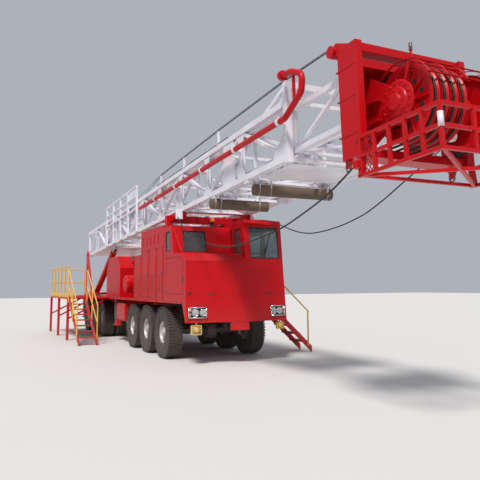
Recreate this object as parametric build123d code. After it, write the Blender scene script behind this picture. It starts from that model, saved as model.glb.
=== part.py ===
from build123d import *
import os
from math import atan2, cos, degrees, hypot, pi, radians, sin, tan

# Well flushing truck: a 12-wheel carrier with a folded telescoping mast.
# Built with X forward from the first front axle, Y to the left and Z up from the ground,
# and moved at the end so that the origin is under the middle of the whole vehicle.

# Wheels and axles
TYRE_R = 620
TYRE_W = 370
RIM_R = 262
RIM_WALL = 14
TWIN_PITCH = 425
FRONT_AXLES = (0, -1430, -2860)
REAR_AXLES = (-7120, -8520, -9920)
KINGPIN_IN = 55
KINGPIN_R = 28
EYE_R = 48
SPINDLE_R = 55
FORK_GAP = 154
FORK_T = 30
RUNNING_GAP = 0.3
AXLE_R = 85
SPRING_SEAT_Z = 770
SPRING_REACH = 590
SPRING_T = 80
SPRING_OUT = 50
SPRING_TO_TYRE = 40

# Frame rails and deck
RAIL_FLANGE = 100
RAIL_T = 14
RAIL_LOW_Z = 980
DECK_LOW_Z = 1340
DECK_Z = 1400
DECK_T = 12
DECK_EDGE = 25
DECK_SEAT = 5
DECK_HALF_Y = 1270
DECK_REAR_X = -12100
DECK_FRONT_X = 1440
FRAME_FRONT_X = 1500
TOW_BEAM_T = 60
CROSS_MEMBER_T = 120
BRACKET_XS = (-3720, -5040, -6280)
BRACKET_T = 24
SHALLOW_XS = (-715, -2145, -7820, -9220)
TOOL_PAD_X = -8600
TOOL_PAD_LONG = 600
TOOL_PAD_WIDE = 300
TOOL_PAD_T = 20

# Wheel places, which follow from the deck's width
WHEEL_FACE_Y = DECK_HALF_Y + 15
WHEEL_Y = WHEEL_FACE_Y - TYRE_W / 2
KINGPIN_Y = WHEEL_FACE_Y - TYRE_W - KINGPIN_IN
RAIL_Y = WHEEL_FACE_Y - TYRE_W - TWIN_PITCH - SPRING_TO_TYRE
SPRING_Y = RAIL_Y - SPRING_OUT
TOOL_PAD_Y = DECK_HALF_Y - 20 - TOOL_PAD_WIDE / 2

# Nose and cab
PANEL = 45
NOSE_LOW_Z = 930
BELT_Z = 2300
HOOD_Z = 2490
NOSE_CORNER_X = 1720
RIDGE_X = 1930
RIDGE_Y = 150
LEFT_RAKE = 6.2
APRON_TOP_X = 1460
APRON_FOOT_X = 1700
HOOD_BREAK_X = 1320
NOSE_TOP_X = 1750
CHIN_LOW_Z = 750
CHIN_YS = (-240, 180)
LOCKER_IN = 170
CAB_BACK_X = -500
CAB_RIGHT_Y = 300
CAB_ROOF_Z = 3300
HOUSE_BACK_X = 120
HOUSE_FRONT_X = 760
HOUSE_ROOF_Z = 3180
HOUSE_RAKE = 170
STAY_R = 22
CAB_FRONT_X = 1480
VISOR_X = 1620
POST_FRONT_X = 1300
HOUSE_PANE_YS = (-1010, -420)
SCREEN_YS = (400, 1170)
SCREEN_RAKE = 130
RIGHT_PANE_XS = (-270, 860)
QUARTER_X = 1000
BACK_PANE_YS = (480, 1080)
DASH_BACK_X = 1130
SEAT_Y = 830
SEAT_HALF = 240
SEAT_BACK_X = -110
SEAT_FRONT_X = 460
CUSHION_T = 130
BACK_T = 120
BACK_IN = 10
BACK_LOW = 40
BACK_TOP = 740
PAD_FILLET = 30
DOOR_BACK_X = -360
DOOR_FRONT_X = 560
DOOR_LOW_Z = 1500
DOOR_TOP_Z = 3140
DOOR_GAP = 6
DOOR_HINGE_X = DOOR_FRONT_X + 10
DOOR_HINGE_Y = DECK_HALF_Y + 18
DOOR_HINGE_ZS = (1720, 2960)
DOOR_PIN_R = 8
GLASS_T = 6
GLASS_GAP = 0.3

# Lamps: each fog lamp is (y of its middle, width, low z, high z)
HEADLAMP_IN = 270
HEADLAMP_UP = 222
HEADLAMP_WIDE = 420
HEADLAMP_TALL = 240
HEADLAMP_T = 36
FOG_X = NOSE_CORNER_X - 10
FOG_LAMPS = ((-1015, 240, 665, 880), (1085, 190, 730, 885))
BEACON_X = 650
BEACON_Y = -190
BEACON_R = 60
BEACON_STEM = 110
BEACON_TALL = 120

# Machinery on the deck
ENGINE_BACK_X = -3000
ENGINE_STEP_X = -2240
ENGINE_FRONT_X = -130
ENGINE_LOW_ROOF_Z = 2640
ENGINE_HIGH_ROOF_Z = 3280
ENGINE_HALF_Y = 1200
COVER_WALL = 40
SLOT_XS = (-2020, -550)
SLOT_ZS = (2830, 3080)
SLOT_WIDE = 70
SLOT_COUNT = 5
DRUM_X = -5950
DRUM_Z = 2120
DRUM_R = 330
DRUM_FLANGE_R = 600
DRUM_HALF_Y = 620
JACK_XS = (-5350, -11350)
JACK_Y = 1090
JACK_TUBE = 170
JACK_PLAY = 4
JACK_PAD_Z = 480
TOW_PIN_R = 30
TOW_PIN_LENGTH = 80
TONGUE_LOW_Z = 740

# Mast, measured in its own frame: u along it from the pivot, v up from its lower chords
PIVOT_X = -11750
PIVOT_Z = 3090
MAST_SLOPE = 2.2
MAST_TAIL_U = -150
MAST_HEAD_U = 17500
MAST_HALF_Y = 950
MAST_DEPTH = 1050
CHORD = 110
BRACE = 70
POST_IN = (CHORD - BRACE) / 2
MAST_BAYS = 10
INNER_GAP = 15
INNER_TAIL_U = 2400
INNER_HEAD_U = 19050
CROWN_U = INNER_HEAD_U
COLUMN_Y = 945
COLUMN_HALF = 55
COLUMN_END_U = CROWN_U + 420
COLUMN_LOW_V = -420
COLUMN_TOP_V = 1190
LUG_START = 35
INNER_CHORD = 90
INNER_BAYS = 11
GUIDE_V = CHORD + INNER_GAP
REST_X0 = -80
REST_X1 = 100
PIN_R = 45
SHEAVE_U = 19830
SHEAVE_V = 200
SHEAVE_R = 520
SHEAVE_PITCH = 150
SHEAVE_SHAFT_R = 60
CHEEKS = (-640, 160, 420, 780)
SHEAVE_ROWS = (-500, -350, -200, -50, 540, 680)
CAGE_END_U = 20880
CAGE_LOW_V = -700
CAGE_TOP_V = -190
CAGE_LUG_U = CROWN_U + 330
CAGE_LUG_V = -560
COLUMN_LUG_U = CROWN_U + 120
COLUMN_LUG_V = 190
LOG_R = 110
LOG_DROP = 60
LOGS = ((14290, (-1000, 350)), (15900, (-780, 940)))
BOARD_U0 = 3850
BOARD_U1 = 8150

# Raising cylinders
CYL_BASE_X = -11000
CYL_BASE_Z = 1560
CYL_Y = 700
CYL_PIN_U = 4000
CYL_PIN_V = -90
BARREL_R = 115
ROD_R = 80

# Stairs and platform
STAIR_OUT_Y = 2650
STAIR_WIDTH = 560
STAIR_TOP_X = -6000
STAIR_FOOT_X = -3900
PLATFORM_BACK_X = -10500
LADDER_X0 = 0
LADDER_X1 = 620
RAIL_H = 1050
TUBE_R = 21
RAIL_TUBE_R = 18
RAIL_END = 40
STAIR_DROP = 130
STRINGER_TALL = 160
STRINGER_WIDE = 40
LADDER_DROP = 120
STAIR_Y = -STAIR_OUT_Y + 2 * TUBE_R + RUNNING_GAP

# Slack guy lines and the lugs that hold their ends
GUY_D = 26
GUY_Y = 1060
GUY_LUG_U = 12290
GUY_LUG_DROP = 150


def block(x0, x1, y0, y1, z0, z1):
    """A box between two values on each axis."""
    return Pos((x0 + x1) / 2, (y0 + y1) / 2, (z0 + z1) / 2) * Box(x1 - x0, y1 - y0, z1 - z0)


def side_profile(points, y0, y1):
    """A side outline of (x, z) points, from y0 to y1."""
    plane = Plane(origin=(0, y1, 0), x_dir=(1, 0, 0), z_dir=(0, -1, 0))
    return extrude(plane * Polygon(*points, align=None), amount=y1 - y0)


def cross_profile(points, x0, x1):
    """A cross-section of (y, z) points, from x0 to x1."""
    plane = Plane(origin=(x0, 0, 0), x_dir=(0, 1, 0), z_dir=(1, 0, 0))
    return extrude(plane * Polygon(*points, align=None), amount=x1 - x0)


def along(p, q):
    """The plane halfway from p to q whose normal runs along them."""
    p, q = Vector(*p), Vector(*q)
    run = q - p
    side = Vector(0, 1, 0) if abs(run.Y) < 0.9 * run.length else Vector(1, 0, 0)
    across = side - run * (side.dot(run) / run.dot(run))
    return Plane(origin=(p + q) / 2, x_dir=across, z_dir=run), run.length


def bar(p, q, wide, deep=None):
    """A straight member of rectangular section from p to q."""
    plane, length = along(p, q)
    return plane * Box(wide, deep or wide, length)


def rod(p, q, radius):
    """A straight round member from p to q."""
    plane, length = along(p, q)
    return plane * Cylinder(radius, length)


def cross_rod(x, y0, y1, z, radius):
    """A round member that runs across the truck."""
    return rod((x, y0, z), (x, y1, z), radius)


def joined(pieces):
    """One solid, or one set of solids, made of all the pieces."""
    first, *others = pieces
    return first.fuse(*others) if others else first


def mirrored(shape):
    """The shape and its copy on the other side of the truck."""
    return [shape, mirror(shape, about=Plane.XZ)]


def past_plane(origin, normal, size=8000):
    """A large block that lies wholly on the side of a plane that its normal points to."""
    return Plane(origin=origin, z_dir=normal) * Pos(0, 0, size / 2) * Box(size, size, size)


def sliced(shape, cuts):
    """The shape as separate panels, parted in turn at planes square to an axis."""
    panels = []
    rest = shape
    for axis, value, side in cuts:
        normal = {"x": Vector(1, 0, 0), "y": Vector(0, 1, 0), "z": Vector(0, 0, 1)}[axis]
        beyond = past_plane(normal * value, normal * side)
        panels += (rest & beyond).solids()
        rest = rest - beyond
    return panels + list(rest.solids())


def on_mast(shape):
    """A shape made in the mast's own frame, laid where the mast lies on the truck."""
    return Pos(PIVOT_X, 0, PIVOT_Z) * Rot(0, -MAST_SLOPE, 0) * shape


def mast_point(u, v):
    """The x and z on the truck of a point of the mast's frame."""
    a = radians(MAST_SLOPE)
    return PIVOT_X + u * cos(a) - v * sin(a), PIVOT_Z + u * sin(a) + v * cos(a)


# Running gear

def tyre(y):
    """One plain tyre round the rim, with its shoulders and bulged sidewalls."""
    half = TYRE_W / 2
    bead = half - 45
    profile = Polygon(
        (RIM_R, -bead),
        (RIM_R + 110, -half),
        (TYRE_R - 75, -half + 4),
        (TYRE_R - 8, -half + 42),
        (TYRE_R, 0),
        (TYRE_R - 8, half - 42),
        (TYRE_R - 75, half - 4),
        (RIM_R + 110, half),
        (RIM_R, bead),
        align=None,
    )
    ring = revolve(Plane.XY * profile, axis=Axis.Y)
    return Pos(0, y, 0) * ring


def rim(y, out):
    """One disc wheel: a barrel with two flanges, a dished disc and its hand holes."""
    half = TYRE_W / 2 - 45
    r = RIM_R - RUNNING_GAP
    section = Polygon(
        (r, -half),
        (r, half),
        (r - RIM_WALL, half),
        (r - RIM_WALL - 14, half - 60),
        (r - RIM_WALL - 14, -half + 60),
        (r - RIM_WALL, -half),
        align=None,
    )
    barrel = revolve(section, axis=Axis.Y)
    disc_y = out * (half - 95)
    disc = rot_y(Cylinder(r - RIM_WALL - 8, 18), disc_y)
    for step in range(8):
        turn = radians(step * 45)
        disc -= rot_y(Cylinder(26, 60), disc_y, 180 * cos(turn), 180 * sin(turn))
    return Pos(0, y, 0) * barrel.fuse(disc)


def rot_y(shape, y, x=0, z=0):
    """A shape turned so that its own axis lies across the truck, then placed."""
    return Pos(x, y, z) * Rot(-90, 0, 0) * shape


def front_wheel(out):
    """The tyre and the wheel of a steered axle, for the side that out points to."""
    y = out * WHEEL_Y
    disc_y = y + out * (TYRE_W / 2 - 140)
    barrel = rim(y, out)
    boss = rot_y(Cylinder(115, 150), disc_y + out * 10)
    wheel = barrel.fuse(boss) - rot_y(Cylinder(SPINDLE_R + RUNNING_GAP, 900), disc_y)
    cap = rot_y(Cylinder(72, 20), disc_y + out * 94)
    return tyre(y), wheel.fuse(cap)


def rear_wheel(out):
    """Twin tyres and their two wheels, joined by one long hub."""
    outer = out * WHEEL_Y
    inner = out * (WHEEL_Y - TWIN_PITCH)
    pair = tyre(outer) + tyre(inner)
    wheels = rim(outer, -out).fuse(rim(inner, out))
    mid = (outer + inner) / 2
    boss = rot_y(Cylinder(130, 360), mid + out * 20)
    wheels = wheels.fuse(boss) - rot_y(Cylinder(SPINDLE_R + RUNNING_GAP, 1200), mid)
    cap = rot_y(Cylinder(95, 40), mid + out * 220)
    return pair, wheels.fuse(cap)


def knuckle(out):
    """A steering knuckle: a fork over the axle's eye, its kingpin and the spindle."""
    y = out * KINGPIN_Y
    inner, outer = FORK_GAP / 2, FORK_GAP / 2 + FORK_T
    flange = y + out * (EYE_R + 47)
    near, far = sorted((y, flange))
    web_near, web_far = sorted((y + out * (EYE_R + 14), flange))
    fork = joined([
        Pos(0, y, inner + FORK_T / 2) * Cylinder(58, FORK_T),
        Pos(0, y, -inner - FORK_T / 2) * Cylinder(58, FORK_T),
        block(-45, 45, near, far, inner, outer),
        block(-45, 45, near, far, -outer, -inner),
        block(-45, 45, web_near, web_far, -outer, outer),
        Pos(0, y, 0) * Cylinder(KINGPIN_R, 2 * outer),
    ])
    spindle = cross_rod(0, flange - out * 5, out * (WHEEL_FACE_Y - 66), 0, SPINDLE_R)
    return fork.fuse(spindle)


def spring_pads(low):
    """The two seats that carry the springs, measured from the axle's own height."""
    top = SPRING_SEAT_Z - TYRE_R - RUNNING_GAP
    return [block(-110, 110, s * SPRING_Y - 50, s * SPRING_Y + 50, low, top) for s in (-1, 1)]


def front_axle():
    """An I-shaped axle beam with an eye for each kingpin and a differential case."""
    eye = Pos(0, KINGPIN_Y, 0) * (Cylinder(EYE_R, FORK_GAP - 4) - Cylinder(KINGPIN_R + RUNNING_GAP, 200))
    beam = block(-60, 60, -KINGPIN_Y + 42, KINGPIN_Y - 42, -55, 55)
    beam -= block(20, 80, -KINGPIN_Y + 120, KINGPIN_Y - 120, -35, 35)
    beam -= block(-80, -20, -KINGPIN_Y + 120, KINGPIN_Y - 120, -35, 35)
    bowl = rot_y(Cylinder(190, 240), 0)
    return joined([beam, bowl] + mirrored(eye) + spring_pads(50))


def rear_axle():
    """A round axle housing with its differential case and long spindles."""
    tip = WHEEL_Y - 20
    body = cross_rod(0, -440, 440, 0, AXLE_R)
    spindle = cross_rod(0, -tip, tip, 0, SPINDLE_R)
    bowl = rot_y(Cylinder(220, 260), 0)
    nose = rod((0, 0, 0), (330, 0, 0), 90)
    return joined([body, spindle, bowl, nose] + spring_pads(60))


def axles():
    pieces = [Pos(x, 0, TYRE_R) * front_axle() for x in FRONT_AXLES]
    pieces += [Pos(x, 0, TYRE_R) * rear_axle() for x in REAR_AXLES]
    return pieces


def spring():
    """A leaf pack, curved down to its axle, with a hanger at each end up to the rail."""
    seat = SPRING_SEAT_Z
    lift = RAIL_LOW_Z - seat - SPRING_T - 40
    low = ThreePointArc((-SPRING_REACH, seat + lift), (0, seat), (SPRING_REACH, seat + lift))
    top = ThreePointArc(
        (SPRING_REACH, seat + lift + 30), (0, seat + SPRING_T), (-SPRING_REACH, seat + lift + 30),
    )
    ends = [
        Line((SPRING_REACH, seat + lift), (SPRING_REACH, seat + lift + 30)),
        Line((-SPRING_REACH, seat + lift + 30), (-SPRING_REACH, seat + lift)),
    ]
    leaf_plane = Plane(origin=(0, SPRING_Y + 45, 0), x_dir=(1, 0, 0), z_dir=(0, -1, 0))
    leaf = extrude(leaf_plane * make_face([low, top] + ends), amount=90)
    hangers = [
        block(
            s * SPRING_REACH - 35, s * SPRING_REACH + 35, SPRING_Y - 40, SPRING_Y + 40, seat + lift + 10,
            RAIL_LOW_Z,
        )
        for s in (-1, 1)
    ]
    return joined([leaf] + hangers)


def springs():
    pieces = []
    for x in FRONT_AXLES + REAR_AXLES:
        pieces += mirrored(Pos(x, 0, 0) * spring())
    return pieces


# Frame and deck

def chassis_frame():
    """Two channel rails, their cross members, jack housings and the tow beam."""
    rear = DECK_REAR_X + 60
    channel = cross_profile([
        (RAIL_Y, RAIL_LOW_Z), (RAIL_Y, DECK_LOW_Z), (RAIL_Y - RAIL_FLANGE, DECK_LOW_Z),
        (RAIL_Y - RAIL_FLANGE, DECK_LOW_Z - RAIL_T), (RAIL_Y - RAIL_T, DECK_LOW_Z - RAIL_T),
        (RAIL_Y - RAIL_T, RAIL_LOW_Z + RAIL_T), (RAIL_Y - RAIL_FLANGE, RAIL_LOW_Z + RAIL_T),
        (RAIL_Y - RAIL_FLANGE, RAIL_LOW_Z),
    ], rear, FRAME_FRONT_X)
    pieces = mirrored(channel)
    half_t = CROSS_MEMBER_T / 2
    first = (FRAME_FRONT_X - 200, DECK_REAR_X + 150, -10600)
    for x in first + JACK_XS + BRACKET_XS + SHALLOW_XS:
        pieces.append(
            block(x - half_t, x + half_t, -RAIL_Y + RAIL_T, RAIL_Y - RAIL_T, RAIL_LOW_Z + 60, DECK_LOW_Z - 60)
        )
    for x in JACK_XS:
        half = JACK_TUBE / 2
        bore = half + JACK_PLAY
        case = block(x - half - 20, x + half + 20, JACK_Y - half - 20, JACK_Y + half + 20, 700, DECK_LOW_Z)
        case -= block(x - bore, x + bore, JACK_Y - bore, JACK_Y + bore, 600, DECK_LOW_Z - 20)
        beam = block(x - 70, x + 70, RAIL_Y, JACK_Y - half - 20, 1080, 1300)
        pieces += mirrored(case.fuse(beam))
    tow = block(FRAME_FRONT_X, FRAME_FRONT_X + TOW_BEAM_T, -RAIL_Y, RAIL_Y, RAIL_LOW_Z, DECK_LOW_Z)
    tongue = block(FRAME_FRONT_X, NOSE_CORNER_X + 100, -110, 110, TONGUE_LOW_Z, TONGUE_LOW_Z + 120)
    stem = block(FRAME_FRONT_X, FRAME_FRONT_X + TOW_BEAM_T, -110, 110, TONGUE_LOW_Z, RAIL_LOW_Z)
    hook = Pos(NOSE_CORNER_X + 60, 0, TONGUE_LOW_Z - TOW_PIN_LENGTH / 2) * Cylinder(TOW_PIN_R, TOW_PIN_LENGTH)
    return joined(pieces + [tow, tongue, stem, hook])


def jacks():
    """Four jack legs, drawn up, each with its foot pad."""
    half = JACK_TUBE / 2
    slide = half + JACK_PLAY - RUNNING_GAP
    legs = []
    for x in JACK_XS:
        leg = block(x - half, x + half, JACK_Y - half, JACK_Y + half, JACK_PAD_Z + 20, 1290)
        collar = block(x - slide, x + slide, JACK_Y - slide, JACK_Y + slide, 1190, 1290)
        pad = Pos(x, JACK_Y, JACK_PAD_Z + 20) * Cylinder(150, 40)
        legs += mirrored(joined([leg, collar, pad]))
    return legs


def deck():
    """The deck plate with its edge channel and tool pad, and the brackets that hold it out from the rails."""
    plate = block(DECK_REAR_X, DECK_FRONT_X, -DECK_HALF_Y, DECK_HALF_Y, DECK_LOW_Z, DECK_Z)
    for s in (-1, 1):
        y0, y1 = sorted((s * (RAIL_Y + DECK_SEAT), s * (DECK_HALF_Y - DECK_EDGE)))
        plate -= block(DECK_REAR_X + DECK_EDGE, DECK_FRONT_X - DECK_EDGE, y0, y1, DECK_LOW_Z, DECK_Z - DECK_T)
    half_x, half_y = TOOL_PAD_LONG / 2, TOOL_PAD_WIDE / 2
    pad = block(
        TOOL_PAD_X - half_x, TOOL_PAD_X + half_x, TOOL_PAD_Y - half_y, TOOL_PAD_Y + half_y,
        DECK_Z - DECK_T / 2, DECK_Z + TOOL_PAD_T,
    )
    inner, outer = RAIL_Y + RUNNING_GAP, DECK_HALF_Y - DECK_EDGE - RUNNING_GAP
    beside = RAIL_Y + DECK_SEAT + RUNNING_GAP
    top, under = DECK_Z - DECK_T - RUNNING_GAP, DECK_LOW_Z - RUNNING_GAP
    foot = RAIL_LOW_Z + 20
    deep = [(inner, foot), (RAIL_Y + 120, foot), (outer, DECK_LOW_Z - 20)]
    shallow = [(inner, DECK_LOW_Z - 70), (outer, DECK_LOW_Z - 70)]
    brackets = []
    for xs, low_edge in ((BRACKET_XS, deep), (SHALLOW_XS, shallow)):
        for x in xs:
            outline = low_edge + [(outer, top), (beside, top), (beside, under), (inner, under)]
            brackets += mirrored(cross_profile(outline, x - BRACKET_T / 2, x + BRACKET_T / 2))
    return [joined([plate, pad])] + brackets


def tanks():
    """A fuel tank under each side of the deck, and a round vessel across it."""
    low = DECK_LOW_Z - 660
    tank = block(-4900, -3850, 640, DECK_HALF_Y - 20, low, DECK_LOW_Z - 110)
    tank = fillet(tank.edges().filter_by(Axis.X), 60)
    straps = [block(x - 30, x + 30, 800, 1100, DECK_LOW_Z - 130, DECK_Z - DECK_T) for x in (-4720, -4060)]
    hung = joined([tank] + straps)
    vessel_z = DECK_Z + 420
    vessel = cross_rod(-3900, -DECK_HALF_Y + 20, DECK_HALF_Y - 20, vessel_z, 270)
    vessel = fillet(vessel.edges().filter_by(GeomType.CIRCLE), 60)
    feet = [block(-4080, -3720, s * 850 - 50, s * 850 + 50, DECK_Z, vessel_z - 190) for s in (-1, 1)]
    return mirrored(hung) + [joined([vessel] + feet)]


# Nose, house and cab

RIGHT_FACE = (NOSE_CORNER_X, -DECK_HALF_Y, NOSE_LOW_Z)
RIGHT_NORMAL = Vector(RIDGE_Y + DECK_HALF_Y, -(RIDGE_X - NOSE_CORNER_X), 0).normalized()
LEFT_FACE = (NOSE_CORNER_X, DECK_HALF_Y, NOSE_LOW_Z)
LEFT_RUN = Vector(RIDGE_X - NOSE_CORNER_X, RIDGE_Y - DECK_HALF_Y, 0)
LEFT_UP = Vector(-tan(radians(LEFT_RAKE)), 0, 1)
LEFT_NORMAL = LEFT_RUN.cross(LEFT_UP).normalized() * (1 if LEFT_RUN.cross(LEFT_UP).X > 0 else -1)


def facets(inset):
    """What lies in front of the nose's two front faces, moved back by an inset."""
    right = past_plane(Vector(*RIGHT_FACE) - RIGHT_NORMAL * inset, RIGHT_NORMAL)
    left = past_plane(Vector(*LEFT_FACE) - LEFT_NORMAL * inset, LEFT_NORMAL)
    return right, left


def faceted(shape, inset=0):
    """A shape with the nose's two front faces cut on it."""
    for beyond in facets(inset):
        shape = shape - beyond
    return shape


def front_body():
    """The nose with its apron, the lower half of the cab and the right-hand house, in panels."""
    reach = 2200
    wall_y = CAB_RIGHT_Y - 50
    side_y = -DECK_HALF_Y
    left = block(CAB_BACK_X, reach, wall_y, DECK_HALF_Y, DECK_Z, BELT_Z)
    right = side_profile([
        (HOUSE_BACK_X, DECK_Z), (reach, DECK_Z), (reach, BELT_Z), (NOSE_TOP_X, BELT_Z),
        (HOOD_BREAK_X, HOOD_Z),
        (HOUSE_FRONT_X + HOUSE_RAKE - 60, HOOD_Z), (HOUSE_FRONT_X - 60, HOUSE_ROOF_Z),
        (HOUSE_BACK_X, HOUSE_ROOF_Z),
    ], side_y, wall_y)
    apron = side_profile([
        (APRON_FOOT_X, NOSE_LOW_Z), (reach, NOSE_LOW_Z), (reach, DECK_Z), (APRON_TOP_X, DECK_Z),
    ], side_y, DECK_HALF_Y)
    body = faceted(left.fuse(right, apron))
    inset = PANEL + 30
    inner_y = DECK_HALF_Y - PANEL
    well = faceted(block(FRAME_FRONT_X - 100, reach, -inner_y, inner_y, NOSE_LOW_Z - 50, DECK_Z - 40), inset)
    engine_room = faceted(block(
        HOUSE_BACK_X + PANEL, reach, side_y + PANEL, wall_y - PANEL, DECK_Z - 60, BELT_Z - 60,
    ), inset)
    cabin = faceted(block(CAB_BACK_X + PANEL, reach, CAB_RIGHT_Y, inner_y, DECK_Z + 60, BELT_Z + 50), 180)
    room = side_profile([
        (HOUSE_BACK_X + PANEL, HOOD_Z - 60), (HOUSE_FRONT_X + 60, HOOD_Z - 60),
        (HOUSE_FRONT_X - 100, HOUSE_ROOF_Z - PANEL), (HOUSE_BACK_X + PANEL, HOUSE_ROOF_Z - PANEL),
    ], side_y + PANEL, wall_y - PANEL)
    pane = block(HOUSE_FRONT_X - 150, HOUSE_FRONT_X + 150, *HOUSE_PANE_YS, HOOD_Z + 60, HOUSE_ROOF_Z - 110)
    side_pane = block(
        HOUSE_BACK_X + 130, HOUSE_FRONT_X - 170, side_y - 10, side_y + PANEL + 10, HOOD_Z + 80,
        HOUSE_ROOF_Z - 130,
    )
    doorway = block(
        DOOR_BACK_X - DOOR_GAP, DOOR_FRONT_X + DOOR_GAP, inner_y - 20, DECK_HALF_Y + 20,
        DOOR_LOW_Z - DOOR_GAP, BELT_Z + 50,
    )
    body = body - well - engine_room - cabin - room - pane - side_pane - doorway
    body = body - side_profile(locker_outline(0), side_y - 10, side_y + 12)
    body = body.fuse(side_profile(locker_outline(30), side_y - 1, side_y + 30))
    chin_out = faceted(block(FRAME_FRONT_X + 200, reach, *CHIN_YS, CHIN_LOW_Z, NOSE_LOW_Z))
    chin = chin_out - faceted(
        block(FRAME_FRONT_X, reach, -inner_y, inner_y, CHIN_LOW_Z - 10, NOSE_LOW_Z + 10), PANEL,
    )
    stay_x, stay_y = HOOD_BREAK_X - 60, side_y + 60
    stay_foot = (stay_x, stay_y, HOOD_Z + 30)
    stay = joined([
        rod((HOUSE_FRONT_X - 60, stay_y, HOUSE_ROOF_Z - 70), stay_foot, STAY_R),
        rod((stay_x, stay_y, HOOD_Z), (stay_x, stay_y, HOOD_Z + 60), STAY_R),
    ]) - body
    body = joined([body, chin, hinge_pin(DOOR_HINGE_ZS[0])])
    low_and_nose = sliced(body, (("z", DECK_Z, -1), ("x", POST_FRONT_X + 40, 1)))
    rear = joined([panel for panel in low_and_nose if panel.bounding_box().max.X < POST_FRONT_X + 41])
    front = [panel for panel in low_and_nose if panel.bounding_box().max.X > POST_FRONT_X + 41]
    middle = past_plane(Vector(0, wall_y, 0), Vector(0, 1, 0))
    house = sliced(rear - middle, (
        ("z", HOOD_Z, -1), ("x", HOUSE_FRONT_X - 120, 1), ("z", HOUSE_ROOF_Z - PANEL, 1),
        ("x", HOUSE_BACK_X + PANEL, -1), ("y", side_y + PANEL, -1),
    ))
    cab = sliced(rear & middle, (
        ("z", DOOR_LOW_Z - DOOR_GAP, -1), ("x", CAB_BACK_X + PANEL, -1), ("y", CAB_RIGHT_Y, -1),
    ))
    return front + house + cab + [stay]


def locker_outline(inset):
    """The (x, z) outline of the locker door on the right side, which follows the hood's edge."""
    x0, x1 = HOUSE_BACK_X + LOCKER_IN + inset, NOSE_CORNER_X - LOCKER_IN - inset
    z0, z1 = DECK_Z + 140 + inset, HOOD_Z - 70 - inset
    drop = (HOOD_Z - BELT_Z) / (NOSE_TOP_X - HOOD_BREAK_X)
    return [(x0, z0), (x1, z0), (x1, z1 - drop * (x1 - HOOD_BREAK_X)), (HOOD_BREAK_X, z1), (x0, z1)]


def hinge_pin(z):
    """The body's half of a door hinge: two ears on a pad and the pin between them."""
    pieces = [Pos(DOOR_HINGE_X, DOOR_HINGE_Y, z) * Cylinder(DOOR_PIN_R, 116)]
    for step in (-1, 1):
        pieces.append(Pos(DOOR_HINGE_X, DOOR_HINGE_Y, z + step * 52) * Cylinder(14, 12))
        z0 = z + step * 52 - 6
        pieces.append(block(DOOR_HINGE_X, DOOR_HINGE_X + 60, DECK_HALF_Y + 4, DOOR_HINGE_Y + 12, z0, z0 + 12))
    pieces.append(
        block(DOOR_HINGE_X + 30, DOOR_HINGE_X + 60, DECK_HALF_Y - 5, DECK_HALF_Y + 16, z - 58, z + 58)
    )
    return joined(pieces)


def hinge_sleeve(z):
    """The door's half of a hinge: a sleeve on the pin and its leaf."""
    sleeve = Pos(DOOR_HINGE_X, DOOR_HINGE_Y, z) * Cylinder(15, 84)
    leaf = block(DOOR_HINGE_X - 110, DOOR_HINGE_X, DECK_HALF_Y - 1, DECK_HALF_Y + 9, z - 42, z + 42)
    leaf -= block(DOOR_HINGE_X - 9, DOOR_HINGE_X + 9, DECK_HALF_Y - 5, DECK_HALF_Y + 3, z - 50, z + 50)
    return sleeve.fuse(leaf) - Pos(DOOR_HINGE_X, DOOR_HINGE_Y, z) * Cylinder(DOOR_PIN_R + RUNNING_GAP, 120)


def cab_shell():
    """The upper half of the cab, over the left of the nose, in panels with their windows cut."""
    wall_y = CAB_RIGHT_Y - 50
    low, high = BELT_Z + 60, CAB_ROOF_Z - 190
    outer = faceted(side_profile([
        (CAB_BACK_X, BELT_Z), (CAB_FRONT_X + SCREEN_RAKE, BELT_Z), (CAB_FRONT_X, CAB_ROOF_Z - 120),
        (VISOR_X, CAB_ROOF_Z - 90), (VISOR_X - 60, CAB_ROOF_Z), (CAB_BACK_X, CAB_ROOF_Z),
    ], wall_y, DECK_HALF_Y))
    inner = side_profile([
        (CAB_BACK_X + PANEL, BELT_Z - 50), (CAB_FRONT_X + 70, BELT_Z - 50),
        (CAB_FRONT_X - 60, CAB_ROOF_Z - 120),
        (CAB_FRONT_X - 90, CAB_ROOF_Z - PANEL), (CAB_BACK_X + PANEL, CAB_ROOF_Z - PANEL),
    ], CAB_RIGHT_Y, DECK_HALF_Y - PANEL)
    shell = outer - faceted(inner, 60)
    shell -= block(CAB_FRONT_X - 140, CAB_FRONT_X + 260, *SCREEN_YS, BELT_Z + 70, CAB_ROOF_Z - 170)
    shell -= block(*RIGHT_PANE_XS, wall_y - 30, CAB_RIGHT_Y + 20, low, high)
    shell -= side_profile(quarter_outline(QUARTER_X), wall_y - 30, CAB_RIGHT_Y + 20)
    shell -= side_profile(quarter_outline(DOOR_FRONT_X + 110), DECK_HALF_Y - PANEL - 20, DECK_HALF_Y + 20)
    shell -= block(CAB_BACK_X - 20, CAB_BACK_X + PANEL + 20, *BACK_PANE_YS, BELT_Z + 120, CAB_ROOF_Z - 220)
    shell -= block(
        DOOR_BACK_X - DOOR_GAP, DOOR_FRONT_X + DOOR_GAP, DECK_HALF_Y - PANEL - 20, DECK_HALF_Y + 20,
        BELT_Z - 50, DOOR_TOP_Z + DOOR_GAP,
    )
    return sliced(shell.fuse(hinge_pin(DOOR_HINGE_ZS[1])), (
        ("z", DOOR_TOP_Z + DOOR_GAP, 1), ("x", CAB_BACK_X + PANEL, -1), ("x", POST_FRONT_X, 1),
    ))


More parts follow.
